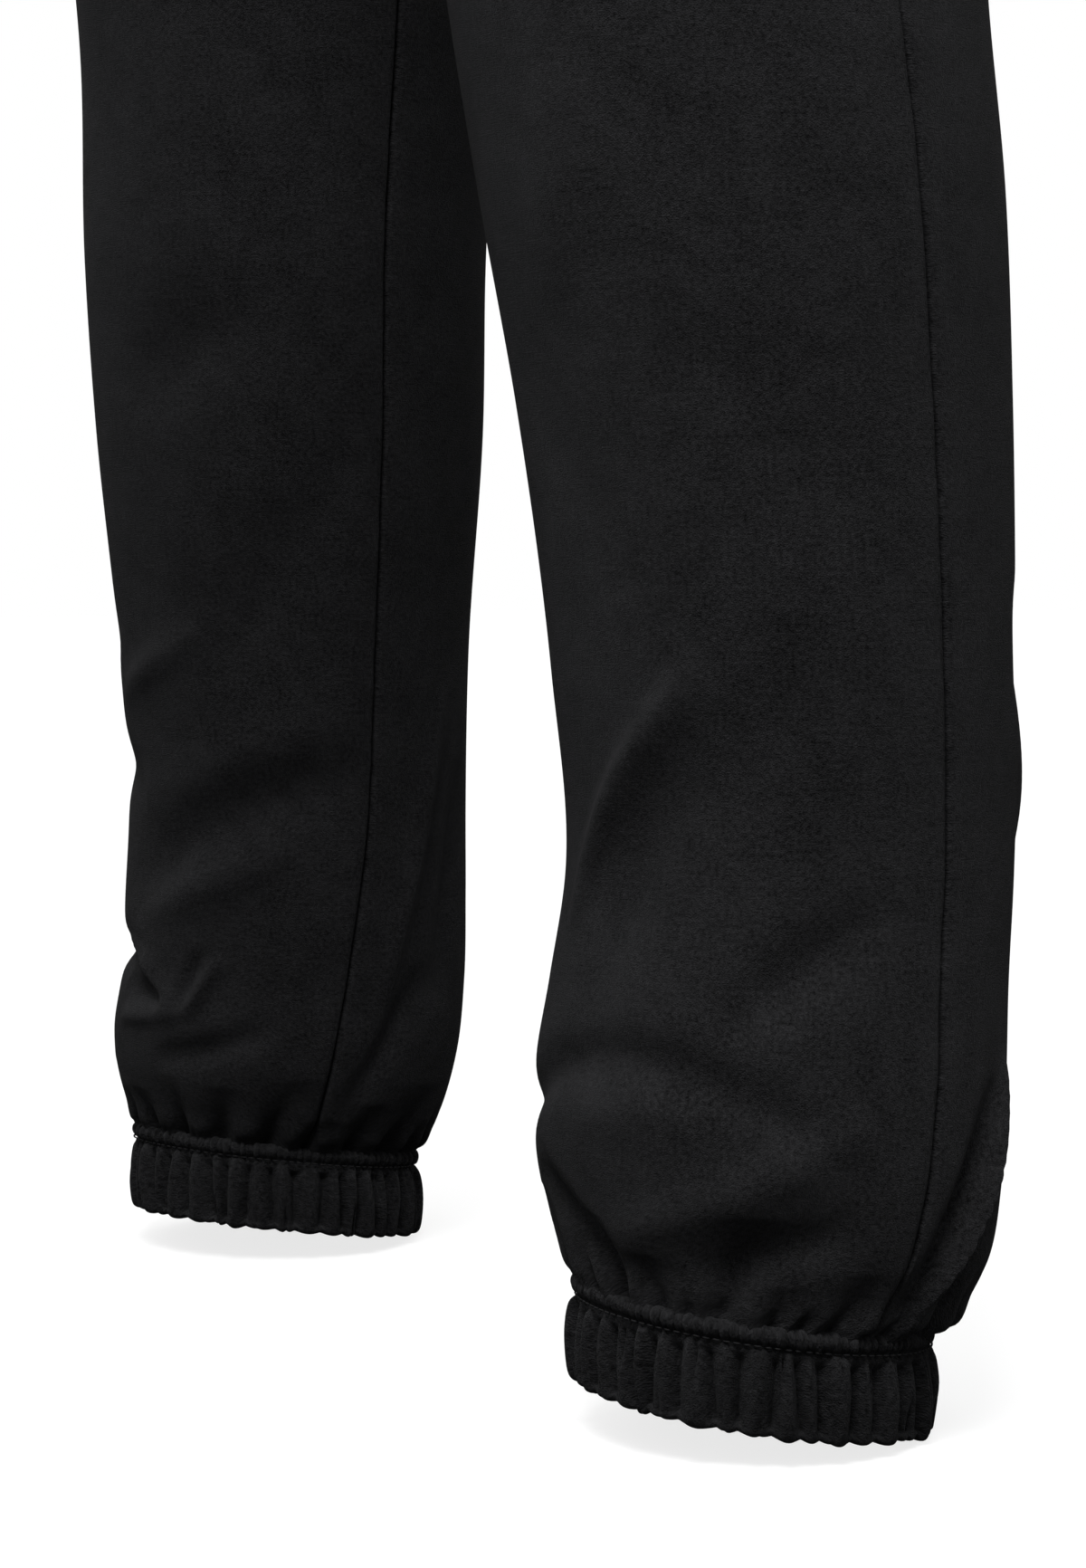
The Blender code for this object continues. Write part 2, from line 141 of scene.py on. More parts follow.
# How far the outseam and the inseam sit round towards the front of the leg, in degrees.
SeamLine = namedtuple("SeamLine", "height outer inner")
SEAM_LINES = named_rows(
    SeamLine,
    (HEM_HEIGHT, 8.0, 23.0),
    (0.060, 5.0, 21.0),
    (0.100, 0.0, 18.5),
    (0.150, 1.0, 12.5),
    (0.220, 1.0, 9.0),
    (0.300, 2.0, 8.0),
    (0.400, 2.5, 6.5),
    (0.600, 1.5, 2.5),
    (CROTCH_HEIGHT, 0.0, 0.0),
)

# Folds: soft troughs (negative depth) and ridges, each along an arc from one point of a leg to another.
# bow: how far the arc's middle stands above the straight line. reach: how far the fold spreads to each side.
Fold = namedtuple("Fold", "turn_a height_a turn_b height_b bow reach depth")
FOLDS = {
    LEFT: named_rows(
        Fold,
        # turn_a, height_a, turn_b, height_b, bow, reach, depth
        (80, 0.396, 94, 0.319, 0.000, 0.0120, 0.0022),
        (112, 0.321, 82, 0.241, 0.000, 0.0140, -0.0018),
        (62, 0.224, 112, 0.146, 0.004, 0.0055, 0.0048),
        (56, 0.212, 96, 0.110, 0.010, 0.0095, -0.0026),
        (40, 0.236, 78, 0.166, -0.008, 0.0120, -0.0022),
        (16, 0.158, 60, 0.118, 0.000, 0.0090, -0.0040),
        (14, 0.134, 52, 0.114, 0.000, 0.0090, 0.0010),
        (150, 0.070, 20, 0.082, 0.034, 0.0085, -0.0046),
        (100, 0.088, 54, 0.096, 0.004, 0.0080, 0.0010),
        (18, 0.098, 92, 0.052, -0.003, 0.0075, 0.0034),
        (20, 0.070, 60, 0.048, 0.000, 0.0065, -0.0034),
        (120, 0.072, 84, 0.042, 0.000, 0.0065, -0.0050),
        (-34, 0.112, -1, 0.040, 0.000, 0.0030, 0.0054),
        (-25, 0.106, 7, 0.038, 0.000, 0.0042, -0.0046),
        (-44, 0.094, -14, 0.046, 0.000, 0.0060, -0.0030),
        (60, 0.320, 20, 0.260, 0.000, 0.0160, -0.0018),
        (318, 0.250, 262, 0.170, -0.010, 0.0120, -0.0036),
        (322, 0.215, 270, 0.140, -0.006, 0.0090, 0.0026),
        (300, 0.140, 235, 0.105, 0.014, 0.0090, -0.0034),
        (284, 0.118, 240, 0.078, 0.000, 0.0080, 0.0028),
        (240, 0.165, 190, 0.120, 0.000, 0.0090, 0.0030),
        (228, 0.095, 186, 0.070, 0.006, 0.0070, -0.0030),
        (215, 0.300, 170, 0.235, 0.000, 0.0130, -0.0032),
        (178, 0.200, 138, 0.165, 0.000, 0.0090, 0.0026),
        (170, 0.110, 130, 0.074, 0.004, 0.0080, -0.0030),
        (168, 0.700, 106, 0.640, 0.004, 0.0140, -0.0044),
        (166, 0.718, 98, 0.690, 0.000, 0.0120, 0.0036),
        (160, 0.652, 110, 0.580, 0.000, 0.0150, -0.0034),
        (194, 0.690, 254, 0.636, -0.004, 0.0140, -0.0046),
        (192, 0.708, 264, 0.682, 0.000, 0.0120, 0.0036),
        (204, 0.640, 262, 0.570, 0.000, 0.0160, -0.0034),
        (72, 0.800, 118, 0.756, 0.000, 0.0160, -0.0026),
        (264, 0.800, 220, 0.748, 0.004, 0.0170, -0.0030),
        (24, 0.572, 82, 0.520, 0.000, 0.0180, -0.0030),
        (308, 0.640, 250, 0.610, 0.000, 0.0160, 0.0026),
        (304, 0.525, 242, 0.470, -0.006, 0.0160, -0.0044),
        (308, 0.494, 250, 0.440, -0.004, 0.0120, 0.0032),
        (234, 0.452, 292, 0.400, 0.004, 0.0150, -0.0038),
    ),
    RIGHT: named_rows(
        Fold,
        (138, 0.346, 92, 0.304, 0.000, 0.0145, -0.0030),
        (66, 0.202, 118, 0.230, 0.000, 0.0060, 0.0022),
        (162, 0.296, 118, 0.206, 0.000, 0.0145, -0.0028),
        (170, 0.180, 72, 0.128, 0.006, 0.0110, -0.0034),
        (162, 0.200, 82, 0.164, 0.000, 0.0090, 0.0018),
        (142, 0.150, 84, 0.124, 0.000, 0.0080, 0.0024),
        (25, 0.186, 84, 0.172, 0.000, 0.0100, -0.0026),
        (22, 0.112, 86, 0.106, 0.000, 0.0065, -0.0046),
        (66, 0.114, 104, 0.083, 0.006, 0.0032, 0.0028),
        (120, 0.112, 106, 0.084, 0.000, 0.0032, 0.0026),
        (108, 0.088, 70, 0.083, -0.001, 0.0040, 0.0022),
        (72, 0.098, 98, 0.091, 0.000, 0.0045, -0.0030),
        (112, 0.114, 105, 0.092, 0.000, 0.0032, -0.0014),
        (140, 0.084, 94, 0.067, -0.002, 0.0060, -0.0032),
        (201, 0.208, 171, 0.084, 0.000, 0.0036, 0.0030),
        (190, 0.108, 166, 0.050, 0.000, 0.0050, -0.0034),
        (214, 0.180, 196, 0.090, 0.000, 0.0060, -0.0026),
        (252, 0.240, 300, 0.170, -0.008, 0.0120, -0.0036),
        (250, 0.205, 296, 0.140, -0.006, 0.0090, 0.0026),
        (245, 0.120, 310, 0.092, 0.012, 0.0090, -0.0034),
        (262, 0.096, 300, 0.070, 0.004, 0.0070, 0.0026),
        (330, 0.150, 385, 0.125, 0.000, 0.0080, 0.0030),
        (326, 0.110, 372, 0.078, 0.004, 0.0080, -0.0030),
        (20, 0.250, 60, 0.215, 0.000, 0.0100, -0.0026),
        (166, 0.704, 112, 0.652, 0.004, 0.0150, -0.0042),
        (168, 0.724, 92, 0.700, 0.000, 0.0130, 0.0034),
        (156, 0.640, 104, 0.575, 0.000, 0.0160, -0.0030),
        (196, 0.694, 248, 0.650, -0.004, 0.0150, -0.0044),
        (190, 0.714, 268, 0.676, 0.000, 0.0120, 0.0034),
        (208, 0.632, 256, 0.560, 0.000, 0.0150, -0.0036),
        (66, 0.792, 110, 0.750, 0.000, 0.0170, -0.0026),
        (258, 0.806, 216, 0.760, 0.004, 0.0160, -0.0030),
        (40, 0.600, 90, 0.540, 0.000, 0.0180, -0.0030),
        (300, 0.655, 244, 0.600, 0.000, 0.0160, 0.0028),
        (248, 0.515, 306, 0.460, 0.006, 0.0160, -0.0044),
        (244, 0.486, 300, 0.434, 0.004, 0.0120, 0.0030),
        (290, 0.440, 230, 0.392, 0.000, 0.0150, -0.0038),
    ),
}

# Gathers where a leg is drawn into its cuff: narrow troughs that start at the hem. reach: how far up they run.
# lean: how far their tops lean round the leg, in degrees.
Gather = namedtuple("Gather", "turn reach width depth lean")
GATHERS = {
    LEFT: named_rows(
        Gather,
        # turn, reach, width, depth, lean
        (-52, 0.022, 0.0030, 0.0034, -8),
        (-34, 0.014, 0.0026, 0.0028, 4),
        (-16, 0.026, 0.0030, 0.0034, -6),
        (0, 0.010, 0.0024, 0.0024, 0),
        (20, 0.013, 0.0028, 0.0032, -4),
        (30, 0.006, 0.0020, 0.0020, 0),
        (38, 0.009, 0.0028, 0.0032, 2),
        (54, 0.024, 0.0036, 0.0050, -10),
        (64, 0.006, 0.0020, 0.0016, 0),
        (74, 0.011, 0.0030, 0.0036, 2),
        (90, 0.018, 0.0030, 0.0042, 6),
        (104, 0.012, 0.0026, 0.0028, 0),
        (120, 0.020, 0.0028, 0.0032, 6),
        (137, 0.012, 0.0024, 0.0026, -3),
        (156, 0.026, 0.0032, 0.0038, 6),
        (176, 0.011, 0.0024, 0.0026, 0),
        (193, 0.018, 0.0030, 0.0034, -6),
        (214, 0.030, 0.0034, 0.0040, 10),
        (229, 0.011, 0.0024, 0.0026, 0),
        (249, 0.020, 0.0030, 0.0034, -5),
        (267, 0.013, 0.0026, 0.0028, 4),
        (285, 0.024, 0.0030, 0.0036, -8),
    ),
    RIGHT: named_rows(
        Gather,
        (0, 0.014, 0.0026, 0.0028, 4),
        (19, 0.024, 0.0030, 0.0034, -6),
        (38, 0.012, 0.0024, 0.0026, 3),
        (54, 0.020, 0.0028, 0.0032, -4),
        (71, 0.011, 0.0024, 0.0026, 0),
        (88, 0.012, 0.0026, 0.0030, -6),
        (104, 0.018, 0.0028, 0.0034, -3),
        (122, 0.016, 0.0032, 0.0036, 2),
        (141, 0.020, 0.0036, 0.0040, 8),
        (155, 0.008, 0.0026, 0.0026, 4),
        (174, 0.014, 0.0032, 0.0038, 5),
        (192, 0.020, 0.0038, 0.0042, 12),
        (208, 0.010, 0.0026, 0.0028, 0),
        (222, 0.014, 0.0026, 0.0030, -4),
        (240, 0.026, 0.0030, 0.0036, 6),
        (258, 0.011, 0.0024, 0.0026, 0),
        (277, 0.022, 0.0032, 0.0038, -8),
        (297, 0.013, 0.0026, 0.0028, 3),
        (316, 0.024, 0.0030, 0.0036, -5),
        (338, 0.012, 0.0026, 0.0028, 2),
    ),
}
FINE_GATHERS = 46  # small puckers between the main gathers round one hem
FINE_DEPTH = 0.0006
GATHER_LIMIT = 0.0044  # how deep the gathers may press in at the hem itself, which keeps it inside the cuff's header
WAIST_PUCKERS = 52  # creases round the body under the waistband
PUCKER_DEPTH = 0.0017

# How the edges of the panels are finished, in metres
SEAM_FADE = 0.005  # how far from the crotch point the seams' dips fade in
HEM_TURN = 0.005  # how far above the hem the cloth is pressed level and not along its normals
HEM_DROP = 0.0017  # how far the lowest rows reach down behind the cuff's header
HEM_TUCK = 0.0034  # how much further in the inner wall stands at the hem
TUCK_REACH = 0.022
ALLOWANCE = 0.0026  # how much thicker the cloth is at a seam, for its allowance
ALLOWANCE_REACH = 0.006
INTO_BAND = 0.0020  # how far the top rows reach up behind the waistband
LOBE_DROOP_AT = 0.0035  # how far above the hem the lobes between the gathers hang most

# Rows of a panel up the leg: from, to and step
ROW_STEPS = (
    (HEM_HEIGHT, 0.052, 0.0008),
    (0.052, 0.085, 0.00125),
    (0.085, 0.19, 0.002),
    (0.19, 0.32, 0.003),
    (0.32, 0.5, 0.0055),
    (0.5, CROTCH_HEIGHT, 0.008),
)
FORK_ROWS = 11
RISE_ROWS = 46
EVEN_COLUMNS = 133
SEAM_COLUMNS = (0.0, 0.0006, 0.0013, 0.0022, 0.0036, 0.0055)  # shares of the width, beside each seam

# Sections of the gathered casings, from the inner foot round the outside and over the top to the inside.
# out: from the ring line. up: as a share of the height. pleat, ruffle: how much of each shows there.
CasingPoint = namedtuple("CasingPoint", "out up pleat ruffle")
CUFF_PROFILE = named_rows(
    CasingPoint,
    # out, up, pleat, ruffle
    (-0.0066, 0.050, 0.05, 0.0),
    (-0.0050, -0.004, 0.12, 0.0),
    (-0.0028, -0.020, 0.25, 0.0),
    (-0.0007, 0.000, 0.55, 0.0),
    (0.0005, 0.070, 0.90, 0.0),
    (0.0011, 0.220, 1.00, 0.0),
    (0.0013, 0.400, 1.00, 0.0),
    (0.0009, 0.580, 1.00, 0.0),
    (0.0001, 0.710, 0.85, 0.1),
    (-0.0011, 0.775, 0.45, 0.5),
    (-0.0021, 0.800, 0.10, 0.6),
    (-0.0019, 0.820, 0.0, 0.7),
    (-0.0008, 0.845, 0.0, 1.0),
    (-0.0002, 0.895, 0.0, 1.0),
    (-0.0005, 0.950, 0.0, 1.0),
    (-0.0018, 0.988, 0.0, 0.8),
    (-0.0034, 1.000, 0.0, 0.5),
    (-0.0056, 0.985, 0.0, 0.2),
    (-0.0074, 0.930, 0.0, 0.0),
    (-0.0082, 0.700, 0.0, 0.0),
    (-0.0084, 0.400, 0.0, 0.0),
    (-0.0080, 0.150, 0.05, 0.0),
)
WAIST_PROFILE = named_rows(
    CasingPoint,
    (-0.0052, 0.040, 0.0, 0.0),
    (-0.0036, 0.004, 0.0, 0.3),
    (-0.0018, 0.012, 0.1, 0.8),
    (-0.0002, 0.050, 0.2, 1.0),
    (0.0002, 0.100, 0.2, 1.0),
    (-0.0010, 0.135, 0.2, 0.6),
    (0.0004, 0.175, 0.6, 0.2),
    (0.0014, 0.300, 1.0, 0.0),
    (0.0018, 0.500, 1.0, 0.0),
    (0.0014, 0.750, 1.0, 0.0),
    (0.0006, 0.920, 1.0, 0.0),
    (-0.0010, 0.985, 0.7, 0.0),
    (-0.0030, 1.000, 0.4, 0.0),
    (-0.0048, 0.980, 0.2, 0.0),
    (-0.0058, 0.900, 0.0, 0.0),
    (-0.0060, 0.500, 0.0, 0.0),
    (-0.0058, 0.120, 0.0, 0.0),
)

# groove: where the topstitching lies
Casing = namedtuple("Casing", "profile groove tall")
CUFF = Casing(CUFF_PROFILE, CasingPoint(-0.0019, 0.811, 0.0, 0.6), CUFF_TALL)
WAISTBAND = Casing(WAIST_PROFILE, CasingPoint(-0.0008, 0.135, 0.2, 0.6), WAISTBAND_TALL)
PLEAT_POINTS = 18  # points across one pleat of a cuff
WAIST_PLEAT_POINTS = 11
WAIST_SHALLOW = 0.9  # depth of the waistband's pleats and ruffles as a share of the cuffs'

STITCH_RADIUS = 0.00032
STITCH_SHARE = 0.80  # how much of the pitch one stitch takes up
STITCH_RINGS, STITCH_SIDES = 7, 6

# The grain of the fleece: the scale of each noise, and what each adds to the height and to the shade
KNIT_PITCH = 0.0011
MOTTLE = 0.75
FIBRE_SCALE, MOTTLE_SCALE, PATCH_SCALE, CLOUD_SCALE = 2300.0, 760.0, 130.0, 34.0
LOOP_HEIGHT, MOTTLE_HEIGHT, FIBRE_HEIGHT = 0.04, 0.35, 1.8
MOTTLE_SHADE, FIBRE_SHADE, BROAD_SHADE, SHADE_MEAN = 3.6, 2.2, 1.1, 4.0

FLOOR_HALF = 12.0
FLOOR_CLEARANCE = 0.0004  # how far the floor lies under the cuffs

# Where the camera stands: in front of the wearer's left side, a little above the cuffs
CAMERA_TURN = math.radians(50.0)
CAMERA_PITCH = math.radians(3.5)
CAMERA_DISTANCE = 1.2361
CAMERA_SIDEWAYS = 0.0201
CAMERA_HEIGHT = 0.2547
CAMERA_LENS = 86.2


# ---------------------------------------------------------------- settings


class JoggerCloth(bpy.types.PropertyGroup):
    """The fleece of the panels."""

    fold_strength: bpy.props.FloatProperty(
        name="Fold strength", description="How deep the laid folds are", default=1.15, min=0.0, max=2.0
    )
    gather_strength: bpy.props.FloatProperty(
        name="Gather strength", description="How deep the gathers at the hems are", default=1.0, min=0.0, max=2.0
    )
    droop: bpy.props.FloatProperty(
        name="Droop", description="How far the gathered lobes hang over the cuffs", default=0.0022, unit="LENGTH"
    )
    seam_dip: bpy.props.FloatProperty(
        name="Seam dip", description="How far the cloth dips into a seam", default=0.0030, unit="LENGTH"
    )
    colour: bpy.props.FloatVectorProperty(
        name="Colour", description="Colour of the fleece", subtype="COLOR", default=(0.0126, 0.0126, 0.0134)
    )
    nap: bpy.props.FloatProperty(
        name="Nap", description="How strongly the brushed nap catches light at the edges", default=0.03
    )


class JoggerCasing(bpy.types.PropertyGroup):
    """The gathered elastic casings."""

    pleats: bpy.props.IntProperty(name="Cuff pleats", description="Pleats round a cuff", default=38)
    pleat_depth: bpy.props.FloatProperty(
        name="Pleat depth", description="Depth of the pleats round a cuff", default=0.0064, unit="LENGTH"
    )
    ruffles: bpy.props.IntProperty(name="Header ruffles", description="Ruffles round a cuff's header", default=122)
    ruffle_depth: bpy.props.FloatProperty(
        name="Ruffle depth", description="Depth of the header's ruffles", default=0.0018, unit="LENGTH"
    )
    waist_pleats: bpy.props.IntProperty(name="Waist pleats", description="Pleats round the waistband", default=74)
    stitch: bpy.props.FloatProperty(
        name="Stitch", description="Length of one topstitch with its gap", default=0.0030, unit="LENGTH"
    )


class JoggerStage(bpy.types.PropertyGroup):
    """The floor and the light."""

    floor_colour: bpy.props.FloatVectorProperty(
        name="Floor", description="Colour of the floor", subtype="COLOR", default=(0.30, 0.30, 0.30)
    )
    floor_glow: bpy.props.FloatProperty(name="Floor glow", description="How lit the floor is shown", default=0.78)
    horizon: bpy.props.FloatProperty(name="Horizon", description="Light of the surround at the horizon", default=0.33)
    sky: bpy.props.FloatProperty(name="Sky", description="Light that the surround gains by straight above", default=1.1)
    side: bpy.props.FloatProperty(name="Side", description="How much brighter the surround's one side is", default=0.15)
    key: bpy.props.FloatProperty(name="Key light", description="Power of the main softbox", default=19.0, unit="POWER")
    bounce: bpy.props.FloatProperty(name="Bounce", description="How much light the floor gives back", default=0.045)


class JoggerSettings(bpy.types.PropertyGroup):
    """All the settings of the joggers."""

    cloth: bpy.props.PointerProperty(type=JoggerCloth)
    casing: bpy.props.PointerProperty(type=JoggerCasing)
    stage: bpy.props.PointerProperty(type=JoggerStage)


# ---------------------------------------------------------------- form of the legs


def column_at(rows, column, heights):
    """A table's column at any heights: cubic arcs between rows, each slope the mean of its neighbouring chords."""
    at = np.array([row.height for row in rows])
    value = np.array([getattr(row, column) for row in rows])
    step = np.diff(at)
    chord = np.diff(value) / step
    inner = (chord[:-1] * step[1:] + chord[1:] * step[:-1]) / (step[:-1] + step[1:])
    slope = np.concatenate([chord[:1], inner, chord[-1:]])
    heights = np.clip(heights, at[0], at[-1])
    i = np.clip(np.searchsorted(at, heights, side="right") - 1, 0, len(step) - 1)
    t = (heights - at[i]) / step[i]
    curve = value[i] * (1 + 2 * t) * (1 - t) ** 2 + value[i + 1] * t**2 * (3 - 2 * t)
    return curve + step[i] * (slope[i] * t * (1 - t) ** 2 - slope[i + 1] * t**2 * (1 - t))


def form_at(side, heights):
    """The oval at each height, as a dict with an array for each column of its table."""
    form = {name: column_at(FORM[side], name, heights) for name in Section._fields[1:]}
    form["centre_x"] = MEETING / 2 + form["gap"] + form["half_width"]
    return form


def centre_turn(form):
    """The turn at which a section meets the centre plane: 180 where the leg only touches it or stays clear."""
    cosine = np.clip((MEETING / 2 - form["centre_x"]) / form["half_width"], -1.0, 1.0)
    return np.degrees(np.arccos(cosine))


def wrapped(turns):
    """Turns in degrees brought to between -180 and 180."""
    return (turns + 180.0) % 360.0 - 180.0


def smooth_step(value, low, high):
    """0 below low, 1 above high and a cubic ease between them."""
    t = np.clip((value - low) / (high - low), 0.0, 1.0)
    return t * t * (3 - 2 * t)


def bell(distance, reach, power=2):
    """1 at no distance, and falling to either side: e to the minus power of the distance over the reach."""
    return np.exp(-((distance / reach) ** power))


def fold_height(side, turns, heights, girth_radius):
    """How far the folds lift the cloth: each is a bell across its arc that fades in and out along it."""
    lift = np.zeros(np.broadcast(turns, heights).shape)
    for fold in FOLDS[side]:
        run = np.radians(fold.turn_b - fold.turn_a) * girth_radius
        climb = fold.height_b - fold.height_a
        length = np.hypot(run, climb)
        right = np.radians(wrapped(turns - fold.turn_a)) * girth_radius
        up = heights - fold.height_a
        along = (right * run + up * climb) / length**2
        across = (up * run - right * climb) / length * np.sign(run)
        inside = np.clip(along, 0.0, 1.0)
        off_arc = across - 4 * fold.bow * inside * (1 - inside)
        lift = lift + fold.depth * bell(off_arc, fold.reach) * np.sin(np.pi * inside) ** 0.8
    return lift


def leg_surface(side, turns, heights, strength):
    """Points of a leg and its half of the rise.

    Round each oval, x is the centre plus the half width times the cosine of the turn, and y the centre minus the
    half depth times its sine. The folds add to both half sizes. Above the crotch the inner half of the oval is
    pushed out to the full depth, by the square of the way to the centre plane, so that it spans the fork. There the
    folds fade by the cube of that way, so that the two sides meet.
    """
    form = form_at(side, heights)
    angle = np.radians(turns)
    across, forward = np.cos(angle), np.sin(angle)
    depth = np.where(forward >= 0, form["half_front"], form["half_back"])
    meets = centre_turn(form)
    fork = np.sqrt(np.clip((heights - CROTCH_HEIGHT) / FORK_RISE, 0.0, 1.0))
    from_front = np.abs((turns % 360.0) - 180.0)
    towards_centre = np.clip((90.0 - from_front) / np.maximum(meets - 90.0, 1e-6), 0.0, 1.0)
    spread = np.where(heights > CROTCH_HEIGHT, fork - np.sin(np.radians(meets)), 0.0)
    reach = np.abs(forward) + spread * towards_centre**2
    girth_radius = (form["half_width"] + form["half_front"]) / 2
    lift = strength * fold_height(side, turns, heights, girth_radius)
    lift = lift * (1.0 - towards_centre**3 * smooth_step(heights, CROTCH_HEIGHT - 0.04, CROTCH_HEIGHT))
    front_or_back = np.where(forward >= 0, 1.0, -1.0)
    x = form["centre_x"] + (form["half_width"] + lift) * across
    y = form["centre_y"] - (depth + lift) * reach * front_or_back
    rise_forward, fall_outward = TILT_SHARES[side]
    z = heights + form["tilt"] * depth * reach * front_or_back * rise_forward
    z = z - form["tilt"] * form["half_width"] * across * fall_outward
    return np.stack([SIDE_SIGN[side] * x, y, z - WAIST_HEIGHT], axis=-1)


def row_heights():
    """Heights of a panel's rows: close together in the gathers, wider up the leg, close again round the fork."""
    legs = [np.arange(low, high - step / 2, step) for low, high, step in ROW_STEPS]
    fork = CROTCH_HEIGHT + FORK_RISE * np.linspace(0.0, 1.0, FORK_ROWS) ** 2
    rise = np.linspace(CROTCH_HEIGHT + FORK_RISE, YOKE_HEIGHT, RISE_ROWS)[1:]
    return np.concatenate([*legs, fork, rise])


def column_shares():
    """Shares of a panel's width for its columns: even in the middle and much closer beside the seams."""
    even = np.linspace(0.0, 1.0, EVEN_COLUMNS)
    edge = np.array(SEAM_COLUMNS)
    middle = edge[-1] + (1 - 2 * edge[-1]) * even
    return np.concatenate([edge[:-1], middle, 1 - edge[-2::-1]])


def panel_turns(side, heights, is_front):
    """The turn of each column of a panel at each height, from the outseam to the inseam or the centre line."""
    form = form_at(side, heights)
    half_gap = np.degrees(MEETING / 2 / form["half_width"])
    outer = column_at(SEAM_LINES, "outer", heights)
    inner = centre_turn(form) - column_at(SEAM_LINES, "inner", heights)
    in_leg = heights <= CROTCH_HEIGHT
    if is_front:
        first = outer + half_gap
        last = inner - np.where(in_leg, half_gap, 0.0)
    else:
        first = 360.0 + outer - half_gap
        last = np.where(in_leg, inner + half_gap, 360.0 - inner)
    return first[:, None] + (last - first)[:, None] * column_shares()[None, :], in_leg


def grid_normals(points, faces_out):
    """Normals of a grid's points: the sum of the cross products of its neighbouring faces' diagonals."""
    face = np.cross(points[1:, 1:] - points[:-1, :-1], points[1:, :-1] - points[:-1, 1:]) * faces_out
    total = np.zeros(points.shape)
    for row, column in ((0, 0), (0, 1), (1, 0), (1, 1)):
        total[row : row + face.shape[0], column : column + face.shape[1]] += face
    return total


def unit(vectors):
    """The vectors at length one."""
    return vectors / np.linalg.norm(vectors, axis=-1, keepdims=True)


def gather_depth(side, turns, above_hem):
    """How deep the gathers press the cloth in: each is a narrow bell round the leg that widens and fades upwards.

    The fine puckers are a raised cosine round the leg with a drifting phase, faded out over the first centimetre.
    """
    depth = np.zeros(turns.shape)
    for gather in GATHERS[side]:
        climb = np.clip(above_hem / (1.25 * gather.reach), 0.0, 1.0)
        centre = gather.turn + gather.lean * climb**1.3
        width = gather.width * (0.9 + 1.5 * climb)
        off = np.abs(np.radians(wrapped(turns - centre))) * CUFF_RADIUS
        depth = np.maximum(depth, 1.25 * gather.depth * (1 - climb) ** 0.8 * bell(off, width, 1.5))
    angle = np.radians(turns)
    drift = 1.1 * np.sin(3 * angle + 0.4) + 0.8 * np.sin(5 * angle + 1.9)
    fine = (0.5 + 0.5 * np.cos(FINE_GATHERS * angle + drift)) ** 3
    reach = 0.007 + 0.004 * np.sin(4 * angle + 1.0)
    return depth + FINE_DEPTH * fine * np.clip(1 - above_hem / reach, 0.0, 1.0) ** 1.5


def waist_puckers(turns, below_top):
    """How deep the cloth is drawn in under the waistband: raised cosines round the body that fade out downwards."""
    angle = np.radians(turns)
    drift = 1.3 * np.sin(4 * angle + 0.7) + 0.9 * np.sin(7 * angle + 2.1)
    crease = (0.5 + 0.5 * np.cos(WAIST_PUCKERS * angle + drift)) ** 2
    reach = 0.030 + 0.016 * np.sin(9 * angle + 1.0) + 0.008 * np.sin(5 * angle)
    return PUCKER_DEPTH * crease * np.clip(1 - below_top / reach, 0.0, 1.0) ** 1.4


def seam_relief(distance, heights):
    """Relief beside a seam by the distance from it: a narrow dip at the seam, a low welt beside it, small puckers."""
    dip = -0.9 * bell(distance, 0.0007) - 0.1 * bell(distance, 0.0022)
    welt = 0.05 * bell(distance - 0.0040, 0.0030)
    pucker = np.sin(heights / 0.0052 + 1.7 * np.sin(heights / 0.021)) * bell(distance, 0.009)
    return dip + welt + 0.05 * pucker


def panel_grids(side, cloth):
    """Turns, heights, points and normals of the folded form for the front and the back panel of one side.

    Where two panels are sewn together, both take the sum of their normals, and at the centre line they take its part
    in the centre plane, so that their edges move alike.
    """
    heights = row_heights()
    grids = {}
    for is_front in (True, False):
        turns, in_leg = panel_turns(side, heights, is_front)
        rows = np.broadcast_to(heights[:, None], turns.shape)
        points = leg_surface(side, turns, rows, cloth.fold_strength)
        out = -SIDE_SIGN[side] if is_front else SIDE_SIGN[side]
        grids[is_front] = [turns, rows, points, grid_normals(points, out)]
    front, back = grids[True][3], grids[False][3]
    outseam = front[:, 0] + back[:, 0]
    inseam = front[:, -1] + back[:, -1]
    front[:, 0] = back[:, 0] = outseam
    front[in_leg, -1] = back[in_leg, -1] = inseam[in_leg]
    front[~in_leg, -1, 0] = back[~in_leg, -1, 0] = 0.0
    return grids[True], grids[False]


